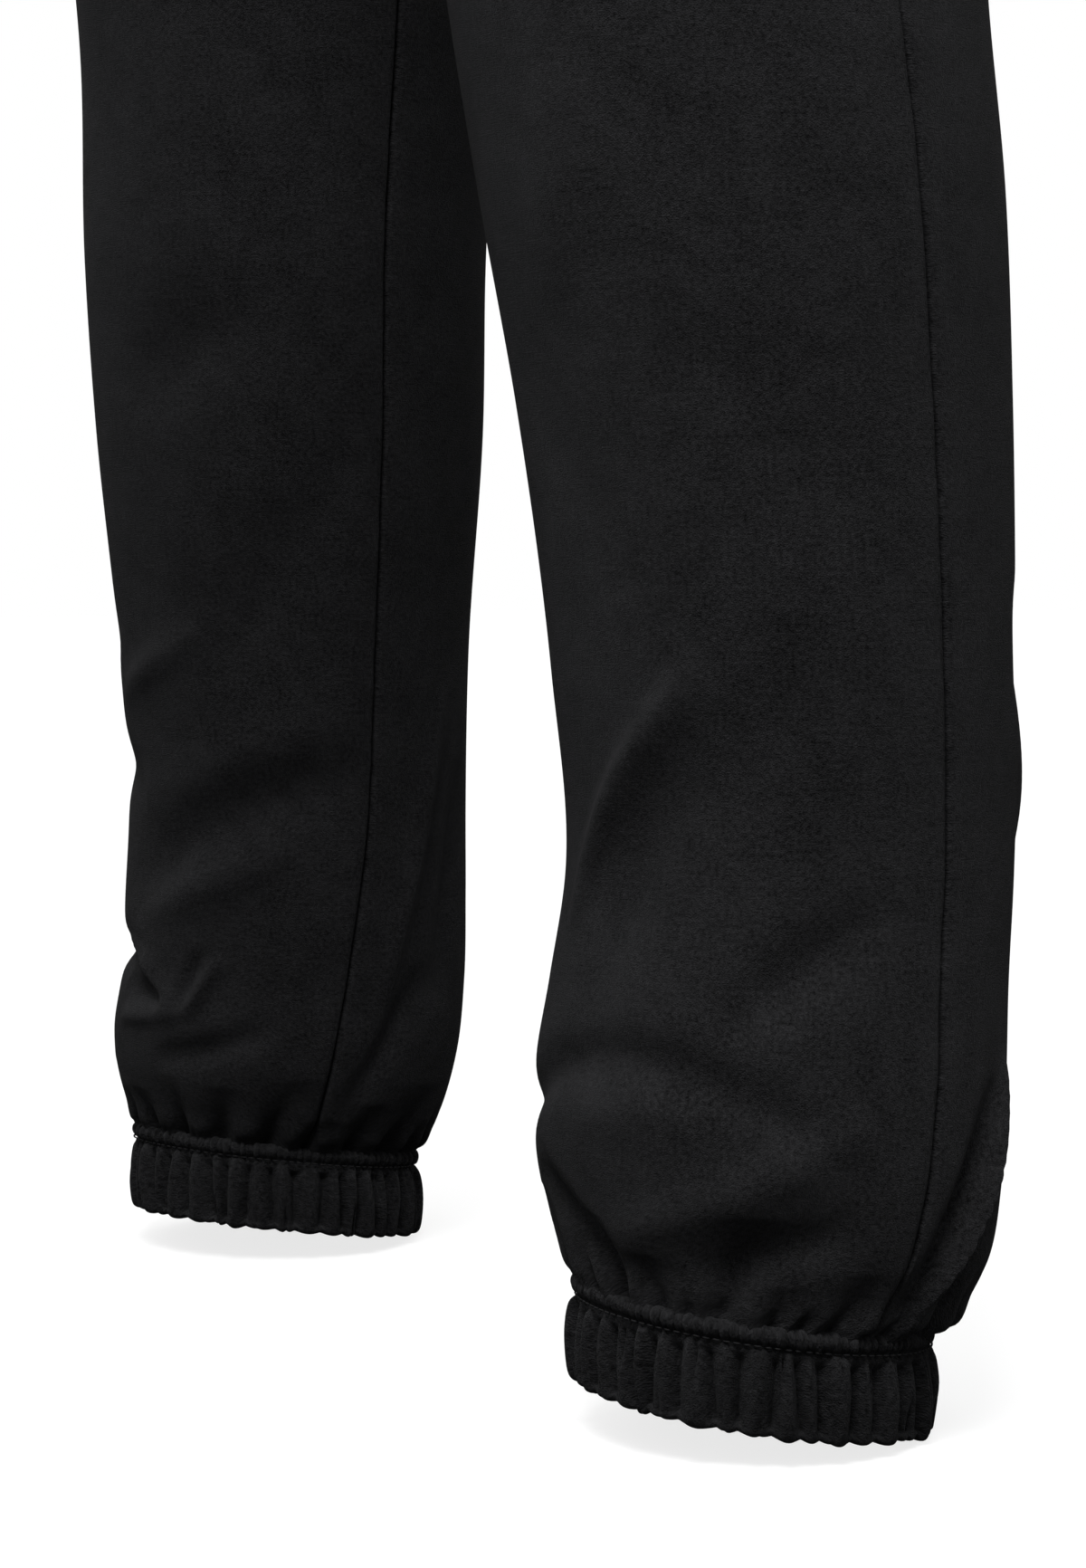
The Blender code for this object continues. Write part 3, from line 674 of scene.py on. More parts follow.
def panel_walls(side, cloth):
    """Outer and inner points, distances across the cloth and heights for the front and the back panel of one side.

    The inner wall is the folded form moved in along its normals by the cloth's thickness, and further in at the hem,
    where the gathers are deep. The outer wall is the form moved along the normals by the gathers and the seam relief.
    """
    walls = []
    for turns, rows, points, normals in panel_grids(side, cloth):
        normals = unit(normals)
        above_hem = rows - HEM_HEIGHT
        width = np.linalg.norm(np.diff(points, axis=1), axis=-1)
        across = np.concatenate([np.zeros((len(rows), 1)), np.cumsum(width, axis=1)], axis=1)
        to_inner = across[:, -1:] - across
        off_crotch = 1.0 - bell(rows - CROTCH_HEIGHT, SEAM_FADE)
        relief = seam_relief(across, rows) + seam_relief(to_inner, rows + 0.3) * off_crotch
        relief = cloth.seam_dip * relief
        gathers = cloth.gather_strength * gather_depth(side, turns, above_hem)
        gathers = np.minimum(gathers, GATHER_LIMIT + 1.2 * above_hem)
        gathers = gathers + cloth.gather_strength * waist_puckers(turns, YOKE_HEIGHT - rows)
        at_hem = bell(above_hem, HEM_TURN)[..., None]
        level = normals * np.array([1.0, 1.0, 0.0])
        push = unit(normals * (1 - at_hem) + unit(level) * at_hem)
        outer = points + push * (relief - gathers)[..., None]
        lobe = np.clip(1 - gathers / 0.002, 0.0, 1.0)
        overhang = 1.0 + 0.9 * bell(wrapped(turns + 45.0), 45.0)
        outer[..., 2] -= cloth.droop * overhang * lobe * bell(above_hem - LOBE_DROOP_AT, LOBE_DROOP_AT)
        tuck = HEM_TUCK * bell(above_hem, TUCK_REACH)
        allowance = ALLOWANCE * bell(np.minimum(across, to_inner), ALLOWANCE_REACH, 4)
        inner = points - push * (CLOTH + tuck + allowance)[..., None]
        for wall in (outer, inner):
            wall[..., 2] -= HEM_DROP * bell(above_hem, 0.0009)
            wall[..., 2] += INTO_BAND * bell(YOKE_HEIGHT - rows, 0.001)
        walls.append((outer, inner, across, rows))
    return walls


# ---------------------------------------------------------------- meshes


def make_piece(name, points, faces, uv, sharp=50.0):
    """A mesh object from an array of points, an array of quads and each point's place on the flat cloth."""
    mesh = bpy.data.meshes.new(name)
    points = points.reshape(-1, 3)
    mesh.vertices.add(len(points))
    mesh.vertices.foreach_set("co", points.ravel())
    mesh.loops.add(faces.size)
    mesh.loops.foreach_set("vertex_index", faces.ravel().astype(np.int32))
    mesh.polygons.add(len(faces))
    mesh.polygons.foreach_set("loop_start", np.arange(0, faces.size, faces.shape[1], dtype=np.int32))
    mesh.update(calc_edges=True)
    layer = mesh.uv_layers.new(name="cloth")
    layer.data.foreach_set("uv", uv.reshape(-1, 2)[faces.ravel()].ravel())
    mesh.validate()
    mesh.shade_smooth()
    mesh.set_sharp_from_angle(angle=math.radians(sharp))
    piece = bpy.data.objects.new(name, mesh)
    bpy.context.scene.collection.objects.link(piece)
    return piece


def wall_faces(rows, columns, flip):
    """Quads of a closed wall: an outer grid, an inner grid and the four edges that join them."""
    outer = np.arange(rows * columns).reshape(rows, columns)
    inner = outer + rows * columns
    quads = [
        np.stack([outer[:-1, :-1], outer[:-1, 1:], outer[1:, 1:], outer[1:, :-1]], axis=-1),
        np.stack([inner[:-1, :-1], inner[1:, :-1], inner[1:, 1:], inner[:-1, 1:]], axis=-1),
    ]
    rim = np.concatenate([outer[0, :], outer[1:, -1], outer[-1, -2::-1], outer[-2::-1, 0]])
    rim_inner = rim + rows * columns
    quads.append(np.stack([rim[1:], rim[:-1], rim_inner[:-1], rim_inner[1:]], axis=-1))
    faces = np.concatenate([quad.reshape(-1, 4) for quad in quads])
    return faces[:, ::-1] if flip else faces


def ring_faces(rows, columns):
    """Quads of a ring whose closed section has a row for each of its points."""
    grid = np.arange(rows * columns).reshape(rows, columns)
    ahead = np.roll(grid, -1, axis=1)
    above = np.roll(grid, -1, axis=0)
    return np.stack([grid, ahead, np.roll(ahead, -1, axis=0), above], axis=-1).reshape(-1, 4)


# ---------------------------------------------------------------- gathered casings


def closed_curve(profile, points_per_span):
    """A closed profile's columns, refined on the curve that passes through each point parallel to its neighbours."""
    table = np.array(profile)
    t = (np.arange(points_per_span) / points_per_span)[None, :, None]
    before, here = np.roll(table, 1, axis=0)[:, None], table[:, None]
    after, beyond = np.roll(table, -1, axis=0)[:, None], np.roll(table, -2, axis=0)[:, None]
    curve = 2 * here + (after - before) * t + (2 * before - 5 * here + 4 * after - beyond) * t**2
    curve = (curve + (3 * here - 3 * after + beyond - before) * t**3) / 2
    return curve.reshape(-1, table.shape[1])


def uneven_edges(count, seed):
    """Where the pleats round a ring begin, in radians: even steps made wider and narrower by two sines."""
    k = np.arange(count)
    width = 1 + 0.24 * np.sin(2.3 * k + seed) + 0.16 * np.sin(5.1 * k + 2 * seed)
    return 2 * np.pi * np.concatenate([[0.0], np.cumsum(width)]) / width.sum()


def pleat_crest(turns, ups, count, seed, lean):
    """Round tubes side by side: 1 on each crest, 0 in each valley, where the tubes meet at a sharp crease.

    Between two creases the height is twice the root of v(1 - v), with v the share of the way across. The creases
    lean to either side with height, every third tube has a second crease that starts at one end of the casing, and
    the valleys open into small wedges below the stitching and at the foot.
    """
    edges = uneven_edges(count, seed)
    crest = np.zeros(turns.shape)
    for k in range(count):
        shift = lean * (ups - 0.45)
        start = edges[k] + shift * math.sin(1.9 * k + seed)
        end = edges[k + 1] + shift * math.sin(1.9 * ((k + 1) % count) + seed)
        v = ((turns - start + np.pi) % (2 * np.pi) - np.pi) / (end - start)
        inside = (v >= 0) & (v < 1)
        v = np.clip(v, 0.0, 1.0)
        height = (4 * v * (1 - v)) ** 1.1 * (0.9 + 0.14 * math.sin(3.7 * k + seed))
        split = 0.5 + 0.16 * math.sin(2.9 * k + seed)
        at_top = math.sin(4.3 * k + seed) > 0
        share = smooth_step(ups, 0.25, 0.8) if at_top else smooth_step(-ups, -0.5, 0.0)
        strength = 0.75 if k % 3 == 1 else 0.28
        height = height - strength * share * bell(np.abs(v - split), 0.10, 1.4)
        wedge = smooth_step(ups, 0.5, 0.8) * (0.5 + 0.4 * math.sin(1.3 * k))
        height = height * (1 - wedge * bell(np.minimum(v, 1 - v), 0.2))
        crest = np.where(inside, height, crest)
    return crest


def ruffle_crest(turns, count, seed):
    """Narrow beads round a header, uneven in width and height, 1 on each crest and 0 in each crease."""
    edges = uneven_edges(count, seed)
    k = np.clip(np.searchsorted(edges, turns % (2 * np.pi), side="right") - 1, 0, count - 1)
    v = (turns % (2 * np.pi) - edges[k]) / (edges[k + 1] - edges[k])
    tall = 0.80 + 0.20 * np.sin(3.1 * k + seed)
    return 2 * np.sqrt(np.clip(v * (1 - v), 0.0, 0.25)) * tall


def casing_surface(ring, casing, turns, seed, pleats, pleat_depth, ruffles, ruffle_depth):
    """Points of a gathered casing: its profile carried round a ring and pressed in along the profile's normals.

    The profile stands on the ring in the plane of the outward direction and +Z. Where the crest is 1 nothing moves,
    and in the creases the surface goes in by the pleats' or the ruffles' depth times the profile's share of each.
    """
    curve = closed_curve(casing.profile, 3)
    out, up = curve[:, 0], curve[:, 1] * casing.tall
    ahead = np.stack([np.roll(out, -1) - np.roll(out, 1), np.roll(up, -1) - np.roll(up, 1)], axis=-1)
    normal = unit(np.stack([ahead[:, 1], -ahead[:, 0]], axis=-1))
    turn_grid, up_grid = np.meshgrid(turns, curve[:, 1])
    pleat = (1 - pleat_crest(turn_grid, up_grid, pleats, seed, 0.05)) * np.clip(curve[:, 2:3], 0, 1)
    ruffle = (1 - ruffle_crest(turn_grid, ruffles, seed)) * np.clip(curve[:, 3:4], 0, 1)
    wave = 0.0004 * np.sin(3 * turn_grid + seed) + 0.0003 * np.sin(7 * turn_grid + 2 * seed)
    press = pleat_depth * pleat + ruffle_depth * ruffle + wave * np.clip(curve[:, 2:3] + curve[:, 3:4], 0, 1)
    base, outward = ring(turns)
    move_out = out[:, None] - press * normal[:, 0:1]
    move_up = up[:, None] - press * normal[:, 1:2]
    points = base[None] + outward[None] * move_out[..., None]
    points[..., 2] += move_up
    return points


def cuff_ring(side):
    """The base line of a cuff: a circle tilted up at the front, round the leg's lowest section."""
    hem = FORM[side][0]
    centre = np.array([SIDE_SIGN[side] * (MEETING / 2 + hem.gap + hem.half_width), hem.centre_y])

    def ring(turns):
        rise_forward, fall_outward = TILT_SHARES[side]
        slope = -CUFF_TILT * (rise_forward * np.sin(turns) + fall_outward * SIDE_SIGN[side] * np.cos(turns))
        outward = np.stack([np.cos(turns), np.sin(turns), slope], axis=-1)
        return outward * CUFF_RADIUS + np.append(centre, CUFF_LIFT - WAIST_HEIGHT), outward

    return ring


def waist_ring(turns):
    """The base line of the waistband: an oval that follows the top edge of the panels."""
    top = RISE[-1]
    half_depth = np.where(np.sin(turns) < 0, top.half_front, top.half_back)
    base = np.stack([top.half_width * np.cos(turns), half_depth * np.sin(turns), 0 * turns], axis=-1)
    outward = unit(base / np.stack([top.half_width + 0 * turns, half_depth, 1 + 0 * turns], axis=-1) ** 2)
    base[:, 2] = -WAISTBAND_TALL / 2
    return base, outward


def casing_uv(points):
    """Each point's place on the flat casing: the distance round it and the distance along its section."""
    round_it = np.concatenate([[0.0], np.cumsum(np.linalg.norm(np.diff(points[0], axis=0), axis=-1))])
    along = np.concatenate([[0.0], np.cumsum(np.linalg.norm(np.diff(points[:, 0], axis=0), axis=-1))])
    return np.stack(np.meshgrid(round_it, along), axis=-1)


def stitch_row(name, ring, casing, pitch):
    """One line of topstitching: short capsules laid end to end along a groove, joined into one mesh.

    A capsule is a circle carried along the line, its radius the root of 1 minus the fourth power of the way from
    its middle, and its middle stands out a little, where the thread comes up from the cloth.
    """
    probe, _ = ring(np.linspace(0, 2 * np.pi, 721))
    length = np.linalg.norm(np.diff(probe, axis=0), axis=-1).sum()
    count = int(length / pitch)
    shape = (count, STITCH_RINGS, STITCH_SIDES)
    along = np.linspace(-1, 1, STITCH_RINGS)
    around = np.arange(STITCH_SIDES) * 2 * np.pi / STITCH_SIDES
    centre = 2 * np.pi * np.arange(count) / count
    turns = centre[:, None] + along[None, :] * (STITCH_SHARE / 2 * 2 * np.pi / count)
    base, outward = (part.reshape(count, STITCH_RINGS, 3) for part in ring(turns.ravel()))
    rise = 0.00028 * (1 - along**2)
    middle = base + outward * (casing.groove.out + 0.0001 + rise)[None, :, None]
    middle[..., 2] += casing.groove.up * casing.tall
    radius = STITCH_RADIUS * np.sqrt(np.clip(1 - along**4, 0.03, 1.0))
    ring_out = outward[:, :, None] * (np.cos(around) * radius[:, None])[None, :, :, None]
    points = middle[:, :, None] + ring_out
    points[..., 2] += np.sin(around) * radius[:, None]
    grid = np.arange(np.prod(shape)).reshape(shape)
    ahead = np.roll(grid, -1, axis=2)
    sides = np.stack([grid[:, :-1], grid[:, 1:], ahead[:, 1:], ahead[:, :-1]], axis=-1).reshape(-1, 4)
    ends = [grid[:, 0, [0, 1, 2, 3]], grid[:, 0, [0, 3, 4, 5]], grid[:, -1, [3, 2, 1, 0]], grid[:, -1, [5, 4, 3, 0]]]
    return make_piece(name, points, np.concatenate([sides, *ends]), np.zeros((grid.size, 2)), sharp=80.0)


# ---------------------------------------------------------------- materials


def set_inputs(node, **values):
    """Sets a node's inputs by their names, with _ for each space."""
    for key, value in values.items():
        node.inputs[key.replace("_", " ")].default_value = value


def add_node(tree, kind, place, **values):
    """A shader node with its named inputs set."""
    node = tree.nodes.new(kind)
    node.location = place
    set_inputs(node, **values)
    return node


def wire(tree, *pairs):
    """Links each output to the input beside it."""
    for start, end in pairs:
        tree.links.new(start, end)


def new_material(name):
    """A new material, its node tree and its shader."""
    material = bpy.data.materials.new(name)
    material.use_nodes = True
    return material, material.node_tree, material.node_tree.nodes["Principled BSDF"]


def math_node(tree, operation, place, first, second):
    """A Math node whose inputs are links or numbers."""
    node = tree.nodes.new("ShaderNodeMath")
    node.operation = operation
    node.location = place
    for socket, value in zip(node.inputs, (first, second)):
        if isinstance(value, bpy.types.NodeSocket):
            tree.links.new(value, socket)
        elif value is not None:
            socket.default_value = value
    return node.outputs[0]


def fleece_group():
    """The grain of sweatshirt fleece: a mottled colour, an uneven roughness and the height of knit and nap.

    The knit's height is a sine along the leg whose phase follows a triangle wave across it, which draws the rows
    of small Vs of a knitted face. Fine noise breaks it up, as the fibres of the nap do.
    """
    group = bpy.data.node_groups.new("Fleece grain", "ShaderNodeTree")
    face = group.interface
    face.new_socket("Place", in_out="INPUT", socket_type="NodeSocketVector")
    for name, value in (("Knit pitch", KNIT_PITCH), ("Mottle", MOTTLE)):
        face.new_socket(name, in_out="INPUT", socket_type="NodeSocketFloat").default_value = value
    face.new_socket("Colour", in_out="INPUT", socket_type="NodeSocketColor")
    for name, kind in (("Colour", "Color"), ("Roughness", "Float"), ("Height", "Float")):
        face.new_socket(name, in_out="OUTPUT", socket_type=f"NodeSocket{kind}")
    inputs = add_node(group, "NodeGroupInput", (-1200, 0)).outputs
    outputs = add_node(group, "NodeGroupOutput", (700, 0)).inputs

    def noise(scale, place):
        """Even noise at a scale, over the cloth."""
        node = add_node(group, "ShaderNodeTexNoise", place, Scale=scale, Detail=2.0, Roughness=0.6)
        wire(group, (inputs["Place"], node.inputs["Vector"]))
        return node.outputs[0]

    def weighted(place, *terms):
        """The sum of each value times its weight."""
        total = None
        for step, (value, weight) in enumerate(terms):
            spot = (place[0] + 160 * step, place[1])
            term = math_node(group, "MULTIPLY", (spot[0] - 120, spot[1] - 140), value, weight)
            total = term if total is None else math_node(group, "ADD", spot, total, term)
        return total

    split = add_node(group, "ShaderNodeSeparateXYZ", (-1000, 200))
    wire(group, (inputs["Place"], split.inputs[0]))
    wale = math_node(group, "DIVIDE", (-820, 260), split.outputs[0], inputs["Knit pitch"])
    course = math_node(group, "DIVIDE", (-820, 100), split.outputs[1], inputs["Knit pitch"])
    zigzag = math_node(group, "PINGPONG", (-640, 260), wale, 0.5)
    phase = math_node(group, "ADD", (-480, 200), course, math_node(group, "MULTIPLY", (-560, 320), zigzag, 1.2))
    loops = math_node(group, "SINE", (-160, 200), math_node(group, "MULTIPLY", (-320, 200), phase, 2 * math.pi), None)

    fibre = noise(FIBRE_SCALE, (-640, -60))
    mottle = noise(MOTTLE_SCALE, (-640, -300))
    patch = noise(PATCH_SCALE, (-640, -540))
    cloud = noise(CLOUD_SCALE, (-640, -780))
    height = weighted((0, 200), (loops, LOOP_HEIGHT), (mottle, MOTTLE_HEIGHT), (fibre, FIBRE_HEIGHT))
    broad = math_node(group, "ADD", (-480, -600), patch, cloud)
    shade = weighted((-300, -300), (mottle, MOTTLE_SHADE), (fibre, FIBRE_SHADE), (broad, BROAD_SHADE))
    shade = math_node(group, "SUBTRACT", (180, -300), shade, SHADE_MEAN)
    shade = math_node(group, "MULTIPLY", (300, -300), shade, inputs["Mottle"])
    lighten = math_node(group, "ADD", (420, -300), shade, 1.0)
    tint = add_node(group, "ShaderNodeVectorMath", (540, -200))
    tint.operation = "SCALE"
    rough = math_node(group, "ADD", (360, -20), math_node(group, "MULTIPLY", (180, -60), mottle, 0.16), 0.78)
    wire(
        group,
        (inputs["Colour"], tint.inputs[0]),
        (lighten, tint.inputs["Scale"]),
        (tint.outputs[0], outputs["Colour"]),
        (rough, outputs["Roughness"]),
        (height, outputs["Height"]),
    )
    return group


def fleece_material(name, cloth, group):
    """Matt black sweatshirt fleece with a faint nap that catches light at the edges."""
    material, tree, shader = new_material(name)
    place = add_node(tree, "ShaderNodeUVMap", (-900, 0))
    place.uv_map = "cloth"
    grain = tree.nodes.new("ShaderNodeGroup")
    grain.node_tree = group
    grain.location = (-640, 0)
    set_inputs(grain, Knit_pitch=KNIT_PITCH, Mottle=MOTTLE, Colour=(*cloth.colour, 1.0))
    relief = add_node(tree, "ShaderNodeBump", (-320, -240), Strength=1.0, Distance=0.0005)
    wire(
        tree,
        (place.outputs[0], grain.inputs["Place"]),
        (grain.outputs["Colour"], shader.inputs["Base Color"]),
        (grain.outputs["Roughness"], shader.inputs["Roughness"]),
        (grain.outputs["Height"], relief.inputs["Height"]),
        (relief.outputs[0], shader.inputs["Normal"]),
    )
    set_inputs(shader, Specular_IOR_Level=0.06, Sheen_Weight=cloth.nap)
    set_inputs(shader, Sheen_Roughness=0.32, Sheen_Tint=(0.95, 0.96, 1.0, 1.0))
    return material


def thread_material(cloth):
    """Black polyester topstitching thread, with a slight twist and shine."""
    material, tree, shader = new_material("Topstitching thread")
    place = add_node(tree, "ShaderNodeTexCoord", (-900, 0))
    twist = add_node(tree, "ShaderNodeTexNoise", (-700, 0), Scale=2400.0, Detail=1.0)
    shades = add_node(tree, "ShaderNodeValToRGB", (-500, 0))
    dark = [channel * 0.5 for channel in cloth.colour]
    for element, colour in zip(shades.color_ramp.elements, (dark, cloth.colour)):
        element.color = (*colour, 1.0)
    wire(
        tree,
        (place.outputs["Object"], twist.inputs["Vector"]),
        (twist.outputs[0], shades.inputs[0]),
        (shades.outputs[0], shader.inputs["Base Color"]),
    )
    set_inputs(shader, Roughness=0.7, Specular_IOR_Level=0.1)
    return material


def cloth_materials(settings):
    """The materials, made once and found by name after that."""
    made = {name: bpy.data.materials.get(name) for name in ("Panel fleece", "Casing fleece", "Topstitching thread")}
    if None in made.values():
        group = fleece_group()
        for name in ("Panel fleece", "Casing fleece"):
            made[name] = fleece_material(name, settings.cloth, group)
        made["Topstitching thread"] = thread_material(settings.cloth)
    return made


# ---------------------------------------------------------------- operators


def settle(piece, material, slot, *nodes):
    """Gives a finished piece its material, body and the CAD nodes that it stands for. The slot is not used.

    A piece that reaches further past the boxes of those nodes than the limit is an error.
    """
    piece.data.materials.append(material)
    if nodes:
        low, high = (np.array([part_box(node)[end] for node in nodes]) for end in (0, 1))
        points = np.empty(3 * len(piece.data.vertices))
        piece.data.vertices.foreach_get("co", points)
        points = points.reshape(-1, 3)
        stray = max((low.min(axis=0) - points.min(axis=0)).max(), (points.max(axis=0) - high.max(axis=0)).max())
        if stray > STRAY_LIMIT:
            raise ValueError(f"{piece.name} reaches {1000 * stray:.1f} mm past the solid that it stands for")
    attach(piece, "root")
    if nodes:
        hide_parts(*nodes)


def gathered_casing(name, ring, casing, turns, seed, fullness, made, stitch):
    """A casing and its topstitching. fullness: pleats, their depth, ruffles and their depth."""
    points = casing_surface(ring, casing, turns, seed, *fullness)
    piece = make_piece(f"{name}_cloth", points, ring_faces(*points.shape[:2]), casing_uv(points))
    settle(piece, made["Casing fleece"], "casing", name)
    thread = stitch_row(f"{name}_stitching", ring, casing, stitch)
    settle(thread, made["Topstitching thread"], "casing")
    return piece, thread


class JOGGERS_OT_panels(bpy.types.Operator):
    """Make the two fronts and the two backs"""

    bl_idname = "joggers.panels"
    bl_label = "Leg panels"

    def execute(self, context):
        settings = context.scene.joggers
        fleece = cloth_materials(settings)["Panel fleece"]
        for side in (LEFT, RIGHT):
            walls = panel_walls(side, settings.cloth)
            for name, turned, (outer, inner, across, rows) in zip(("front", "back"), (1.0, -1.0), walls):
                flip = SIDE_SIGN[side] * turned > 0
                faces = wall_faces(*outer.shape[:2], flip)
                uv = np.stack([across, rows], axis=-1)
                piece = make_piece(f"{name}_{side}_cloth", np.stack([outer, inner]), faces, np.stack([uv, uv + 0.5]))
                settle(piece, fleece, "fleece", f"{name}_{side}")
        return {"FINISHED"}


class JOGGERS_OT_cuffs(bpy.types.Operator):
    """Make the two gathered cuffs with their topstitching"""

    bl_idname = "joggers.cuffs"
    bl_label = "Ankle cuffs"

    def execute(self, context):
        settings = context.scene.joggers
        casing = settings.casing
        made = cloth_materials(settings)
        turns = np.linspace(0, 2 * np.pi, casing.pleats * PLEAT_POINTS, endpoint=False)
        fullness = (casing.pleats, casing.pleat_depth, casing.ruffles, casing.ruffle_depth)
        for side, seed in ((LEFT, 0.6), (RIGHT, 2.3)):
            name, ring = f"cuff_{side}", cuff_ring(side)
            piece, thread = gathered_casing(name, ring, CUFF, turns, seed, fullness, made, casing.stitch)
        return {"FINISHED"}


class JOGGERS_OT_waistband(bpy.types.Operator):
    """Make the gathered waistband with its topstitching"""

    bl_idname = "joggers.waistband"
    bl_label = "Waistband"

    def execute(self, context):
        settings = context.scene.joggers
        casing = settings.casing
        made = cloth_materials(settings)
        pleats = casing.waist_pleats
        turns = np.linspace(0, 2 * np.pi, pleats * WAIST_PLEAT_POINTS, endpoint=False)
        fullness = (pleats, casing.pleat_depth * WAIST_SHALLOW, pleats * 3, casing.ruffle_depth * WAIST_SHALLOW)
        piece, thread = gathered_casing("waistband", waist_ring, WAISTBAND, turns, 1.4, fullness, made, casing.stitch)
        return {"FINISHED"}


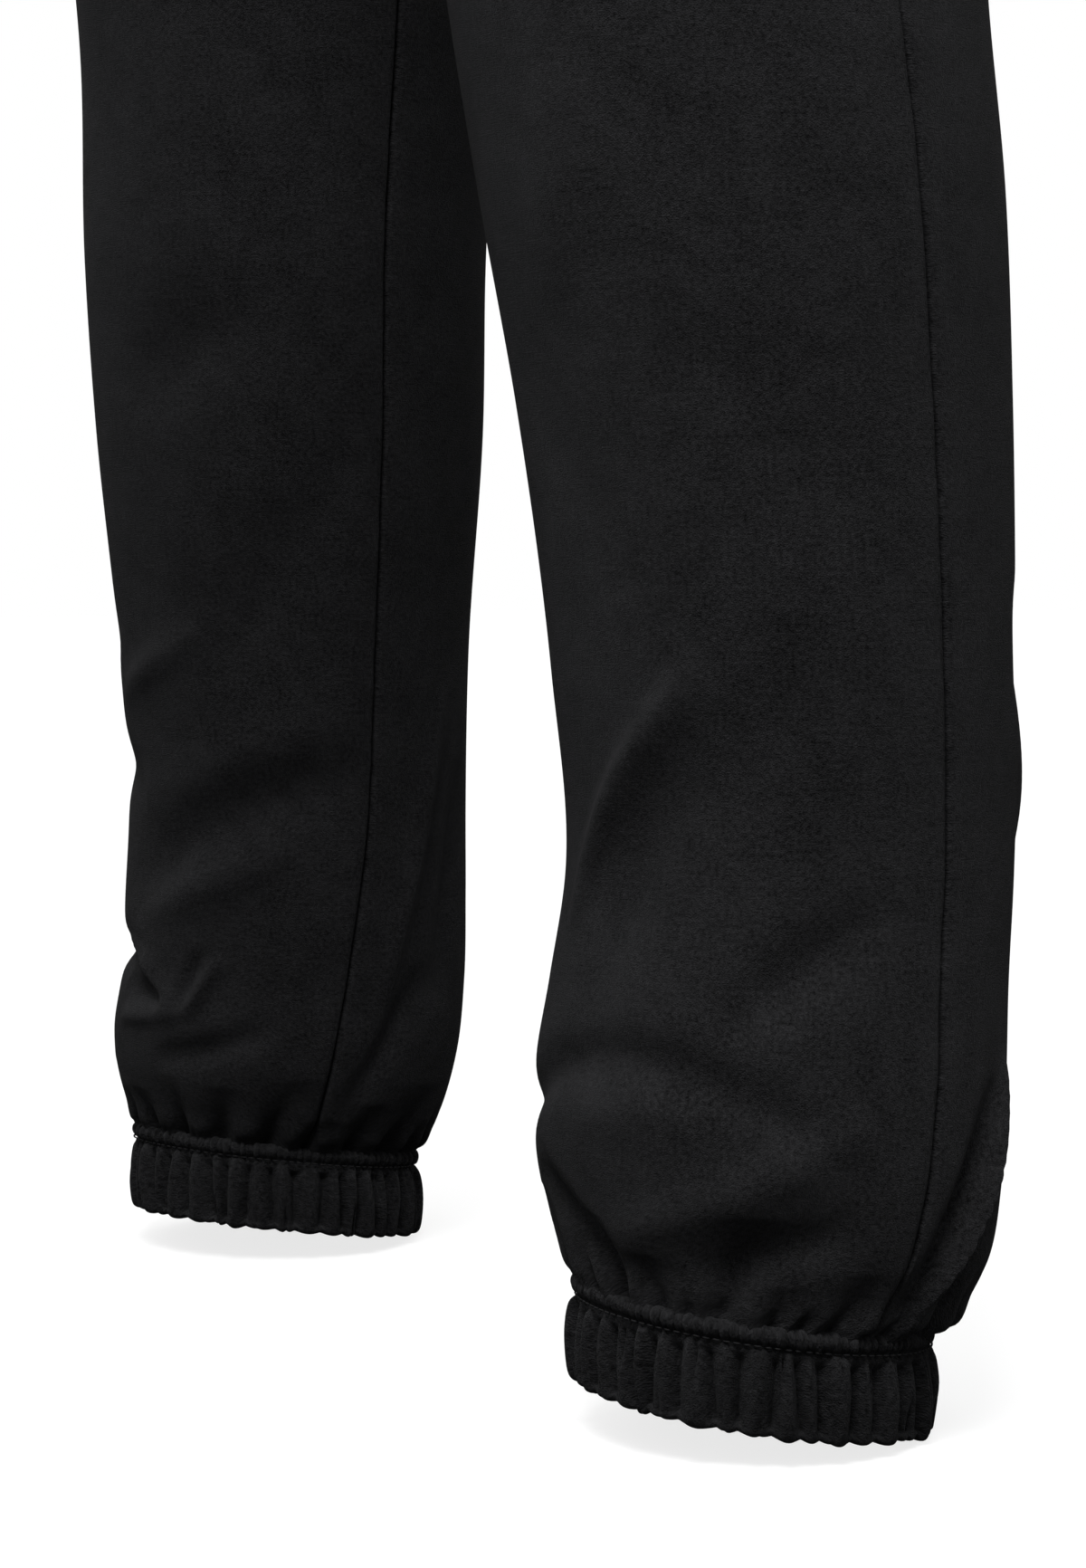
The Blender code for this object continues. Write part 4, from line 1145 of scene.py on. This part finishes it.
class JOGGERS_OT_stage(bpy.types.Operator):
    """Make the floor, the lights and the camera"""

    bl_idname = "joggers.stage"
    bl_label = "Stage"

    def execute(self, context):
        stage = context.scene.joggers.stage
        floor_z = min(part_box("cuff_left")[0].z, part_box("cuff_right")[0].z) - FLOOR_CLEARANCE
        self.add_floor(stage, floor_z)
        self.add_lights(context, stage, floor_z)
        self.add_camera(context)
        return {"FINISHED"}

    def add_floor(self, stage, floor_z):
        """A wide plain floor with a faint, broad unevenness, shown lit and giving little light back."""
        corners = FLOOR_HALF * np.array([[-1.0, -1.0], [1.0, -1.0], [1.0, 1.0], [-1.0, 1.0]])
        points = np.column_stack([corners, np.full(4, floor_z)])
        floor = make_piece("studio_floor", points, np.array([[0, 1, 2, 3]]), corners)
        material, tree, shader = new_material("Studio floor")
        place = add_node(tree, "ShaderNodeTexCoord", (-800, 0))
        cloud = add_node(tree, "ShaderNodeTexNoise", (-600, 0), Scale=0.6, Detail=2.0)
        tone = add_node(tree, "ShaderNodeMix", (-300, 0))
        tone.data_type = "RGBA"
        tone.inputs["A"].default_value = (*stage.floor_colour, 1.0)
        tone.inputs["B"].default_value = (*[channel * 0.99 for channel in stage.floor_colour], 1.0)
        set_inputs(shader, Roughness=0.9, Specular_IOR_Level=0.0)
        dull = add_node(tree, "ShaderNodeBsdfDiffuse", (-100, -260), Color=(*[stage.bounce] * 3, 1.0))
        path = add_node(tree, "ShaderNodeLightPath", (-100, 420))
        glow = add_node(tree, "ShaderNodeEmission", (-100, -420), Strength=stage.floor_glow)
        lit = add_node(tree, "ShaderNodeAddShader", (100, -160))
        mixed = add_node(tree, "ShaderNodeMixShader", (260, 0))
        wire(
            tree,
            (place.outputs["Object"], cloud.inputs["Vector"]),
            (cloud.outputs[0], tone.inputs["Factor"]),
            (tone.outputs["Result"], shader.inputs["Base Color"]),
            (path.outputs["Is Camera Ray"], mixed.inputs[0]),
            (dull.outputs[0], mixed.inputs[1]),
            (shader.outputs[0], lit.inputs[0]),
            (glow.outputs[0], lit.inputs[1]),
            (lit.outputs[0], mixed.inputs[2]),
            (mixed.outputs[0], tree.nodes["Material Output"].inputs["Surface"]),
        )
        floor.data.materials.append(material)

    def add_lights(self, context, stage, floor_z):
        """A white surround, shown without a film curve, and two softboxes, a key at the front and a weaker fill."""
        world = bpy.data.worlds.new("White surround")
        world.use_nodes = True
        tree = world.node_tree
        background = tree.nodes["Background"]
        place = add_node(tree, "ShaderNodeTexCoord", (-1000, 0))
        split = add_node(tree, "ShaderNodeSeparateXYZ", (-820, 0))
        wire(tree, (place.outputs["Generated"], split.inputs[0]))
        up = math_node(tree, "MAXIMUM", (-640, 0), split.outputs[2], 0.0)
        up = math_node(tree, "POWER", (-560, 120), up, 1.8)
        glow = math_node(tree, "ADD", (-320, 0), math_node(tree, "MULTIPLY", (-480, 0), up, stage.sky), stage.horizon)
        side = add_node(tree, "ShaderNodeVectorMath", (-820, -240))
        side.operation = "DOT_PRODUCT"
        side.inputs[1].default_value = (-math.cos(CAMERA_TURN), -math.sin(CAMERA_TURN), 0.0)
        wire(tree, (place.outputs["Generated"], side.inputs[0]))
        lean = math_node(tree, "MULTIPLY", (-640, -240), side.outputs["Value"], stage.side)
        glow = math_node(tree, "MULTIPLY", (-240, -160), glow, math_node(tree, "ADD", (-480, -240), lean, 1.0))
        shown = add_node(tree, "ShaderNodeLightPath", (-480, 240))
        seen = add_node(tree, "ShaderNodeMix", (-160, 100))
        wire(
            tree,
            (shown.outputs["Is Camera Ray"], seen.inputs["Factor"]),
            (glow, seen.inputs["A"]),
            (seen.outputs["Result"], background.inputs["Strength"]),
        )
        seen.inputs["B"].default_value = 1.0
        background.inputs["Color"].default_value = (1.0, 1.0, 1.0, 1.0)
        context.scene.world = world
        context.scene.view_settings.view_transform = "Standard"
        places = (
            ("Key softbox", (0.60, -0.68, floor_z + 1.3), (0.1, -0.03, floor_z + 0.45), 0.6, stage.key),
            ("Fill softbox", (-2.2, -0.6, floor_z + 1.4), (0.0, 0.0, floor_z + 0.3), 1.6, stage.key * 0.12),
        )
        for name, place, target, size, power in places:
            data = bpy.data.lights.new(name, "AREA")
            data.shape = "SQUARE"
            data.size = size
            data.energy = power
            light = bpy.data.objects.new(name, data)
            light.location = place
            aim = [there - here for there, here in zip(target, place)]
            light.rotation_euler = Vector(aim).to_track_quat("-Z", "Y").to_euler()
            context.scene.collection.objects.link(light)

    def add_camera(self, context):
        """A long lens low over the floor, looking a little down at the cuffs."""
        towards = np.array([math.sin(CAMERA_TURN), -math.cos(CAMERA_TURN), 0.0])
        sideways = np.array([math.cos(CAMERA_TURN), math.sin(CAMERA_TURN), 0.0])
        place = towards * CAMERA_DISTANCE + sideways * CAMERA_SIDEWAYS
        place[2] = CAMERA_HEIGHT - WAIST_HEIGHT
        data = bpy.data.cameras.new("Camera")
        data.lens = CAMERA_LENS
        data.sensor_width = 36.0
        data.clip_end = 60.0
        camera = bpy.data.objects.new("Camera", data)
        camera.location = place
        camera.rotation_euler = (math.pi / 2 - CAMERA_PITCH, 0.0, CAMERA_TURN)
        context.scene.collection.objects.link(camera)
        context.scene.camera = camera


class JOGGERS_PT_sidebar(bpy.types.Panel):
    """Lists the steps and the settings"""

    bl_label = "Jogger sweatpants"
    bl_space_type = "VIEW_3D"
    bl_region_type = "UI"
    bl_category = "Joggers"

    def draw(self, context):
        settings = context.scene.joggers
        for step in STEPS:
            self.layout.operator(step.bl_idname)
        for group in (settings.cloth, settings.casing, settings.stage):
            box = self.layout.box()
            for name in group.__annotations__:
                box.prop(group, name)


STEPS = (JOGGERS_OT_panels, JOGGERS_OT_cuffs, JOGGERS_OT_waistband, JOGGERS_OT_stage)
CLASSES = (JoggerCloth, JoggerCasing, JoggerStage, JoggerSettings, *STEPS, JOGGERS_PT_sidebar)


def register():
    """Makes the classes and the scene's settings known."""
    for each in CLASSES:
        bpy.utils.register_class(each)
    bpy.types.Scene.joggers = bpy.props.PointerProperty(type=JoggerSettings)


def unregister():
    """Takes the settings and the classes away again."""
    del bpy.types.Scene.joggers
    for each in reversed(CLASSES):
        bpy.utils.unregister_class(each)


def main():
    """Builds every piece in order."""
    register()
    for step in (bpy.ops.joggers.panels, bpy.ops.joggers.cuffs, bpy.ops.joggers.waistband, bpy.ops.joggers.stage):
        step()


if __name__ == "__main__":
    main()
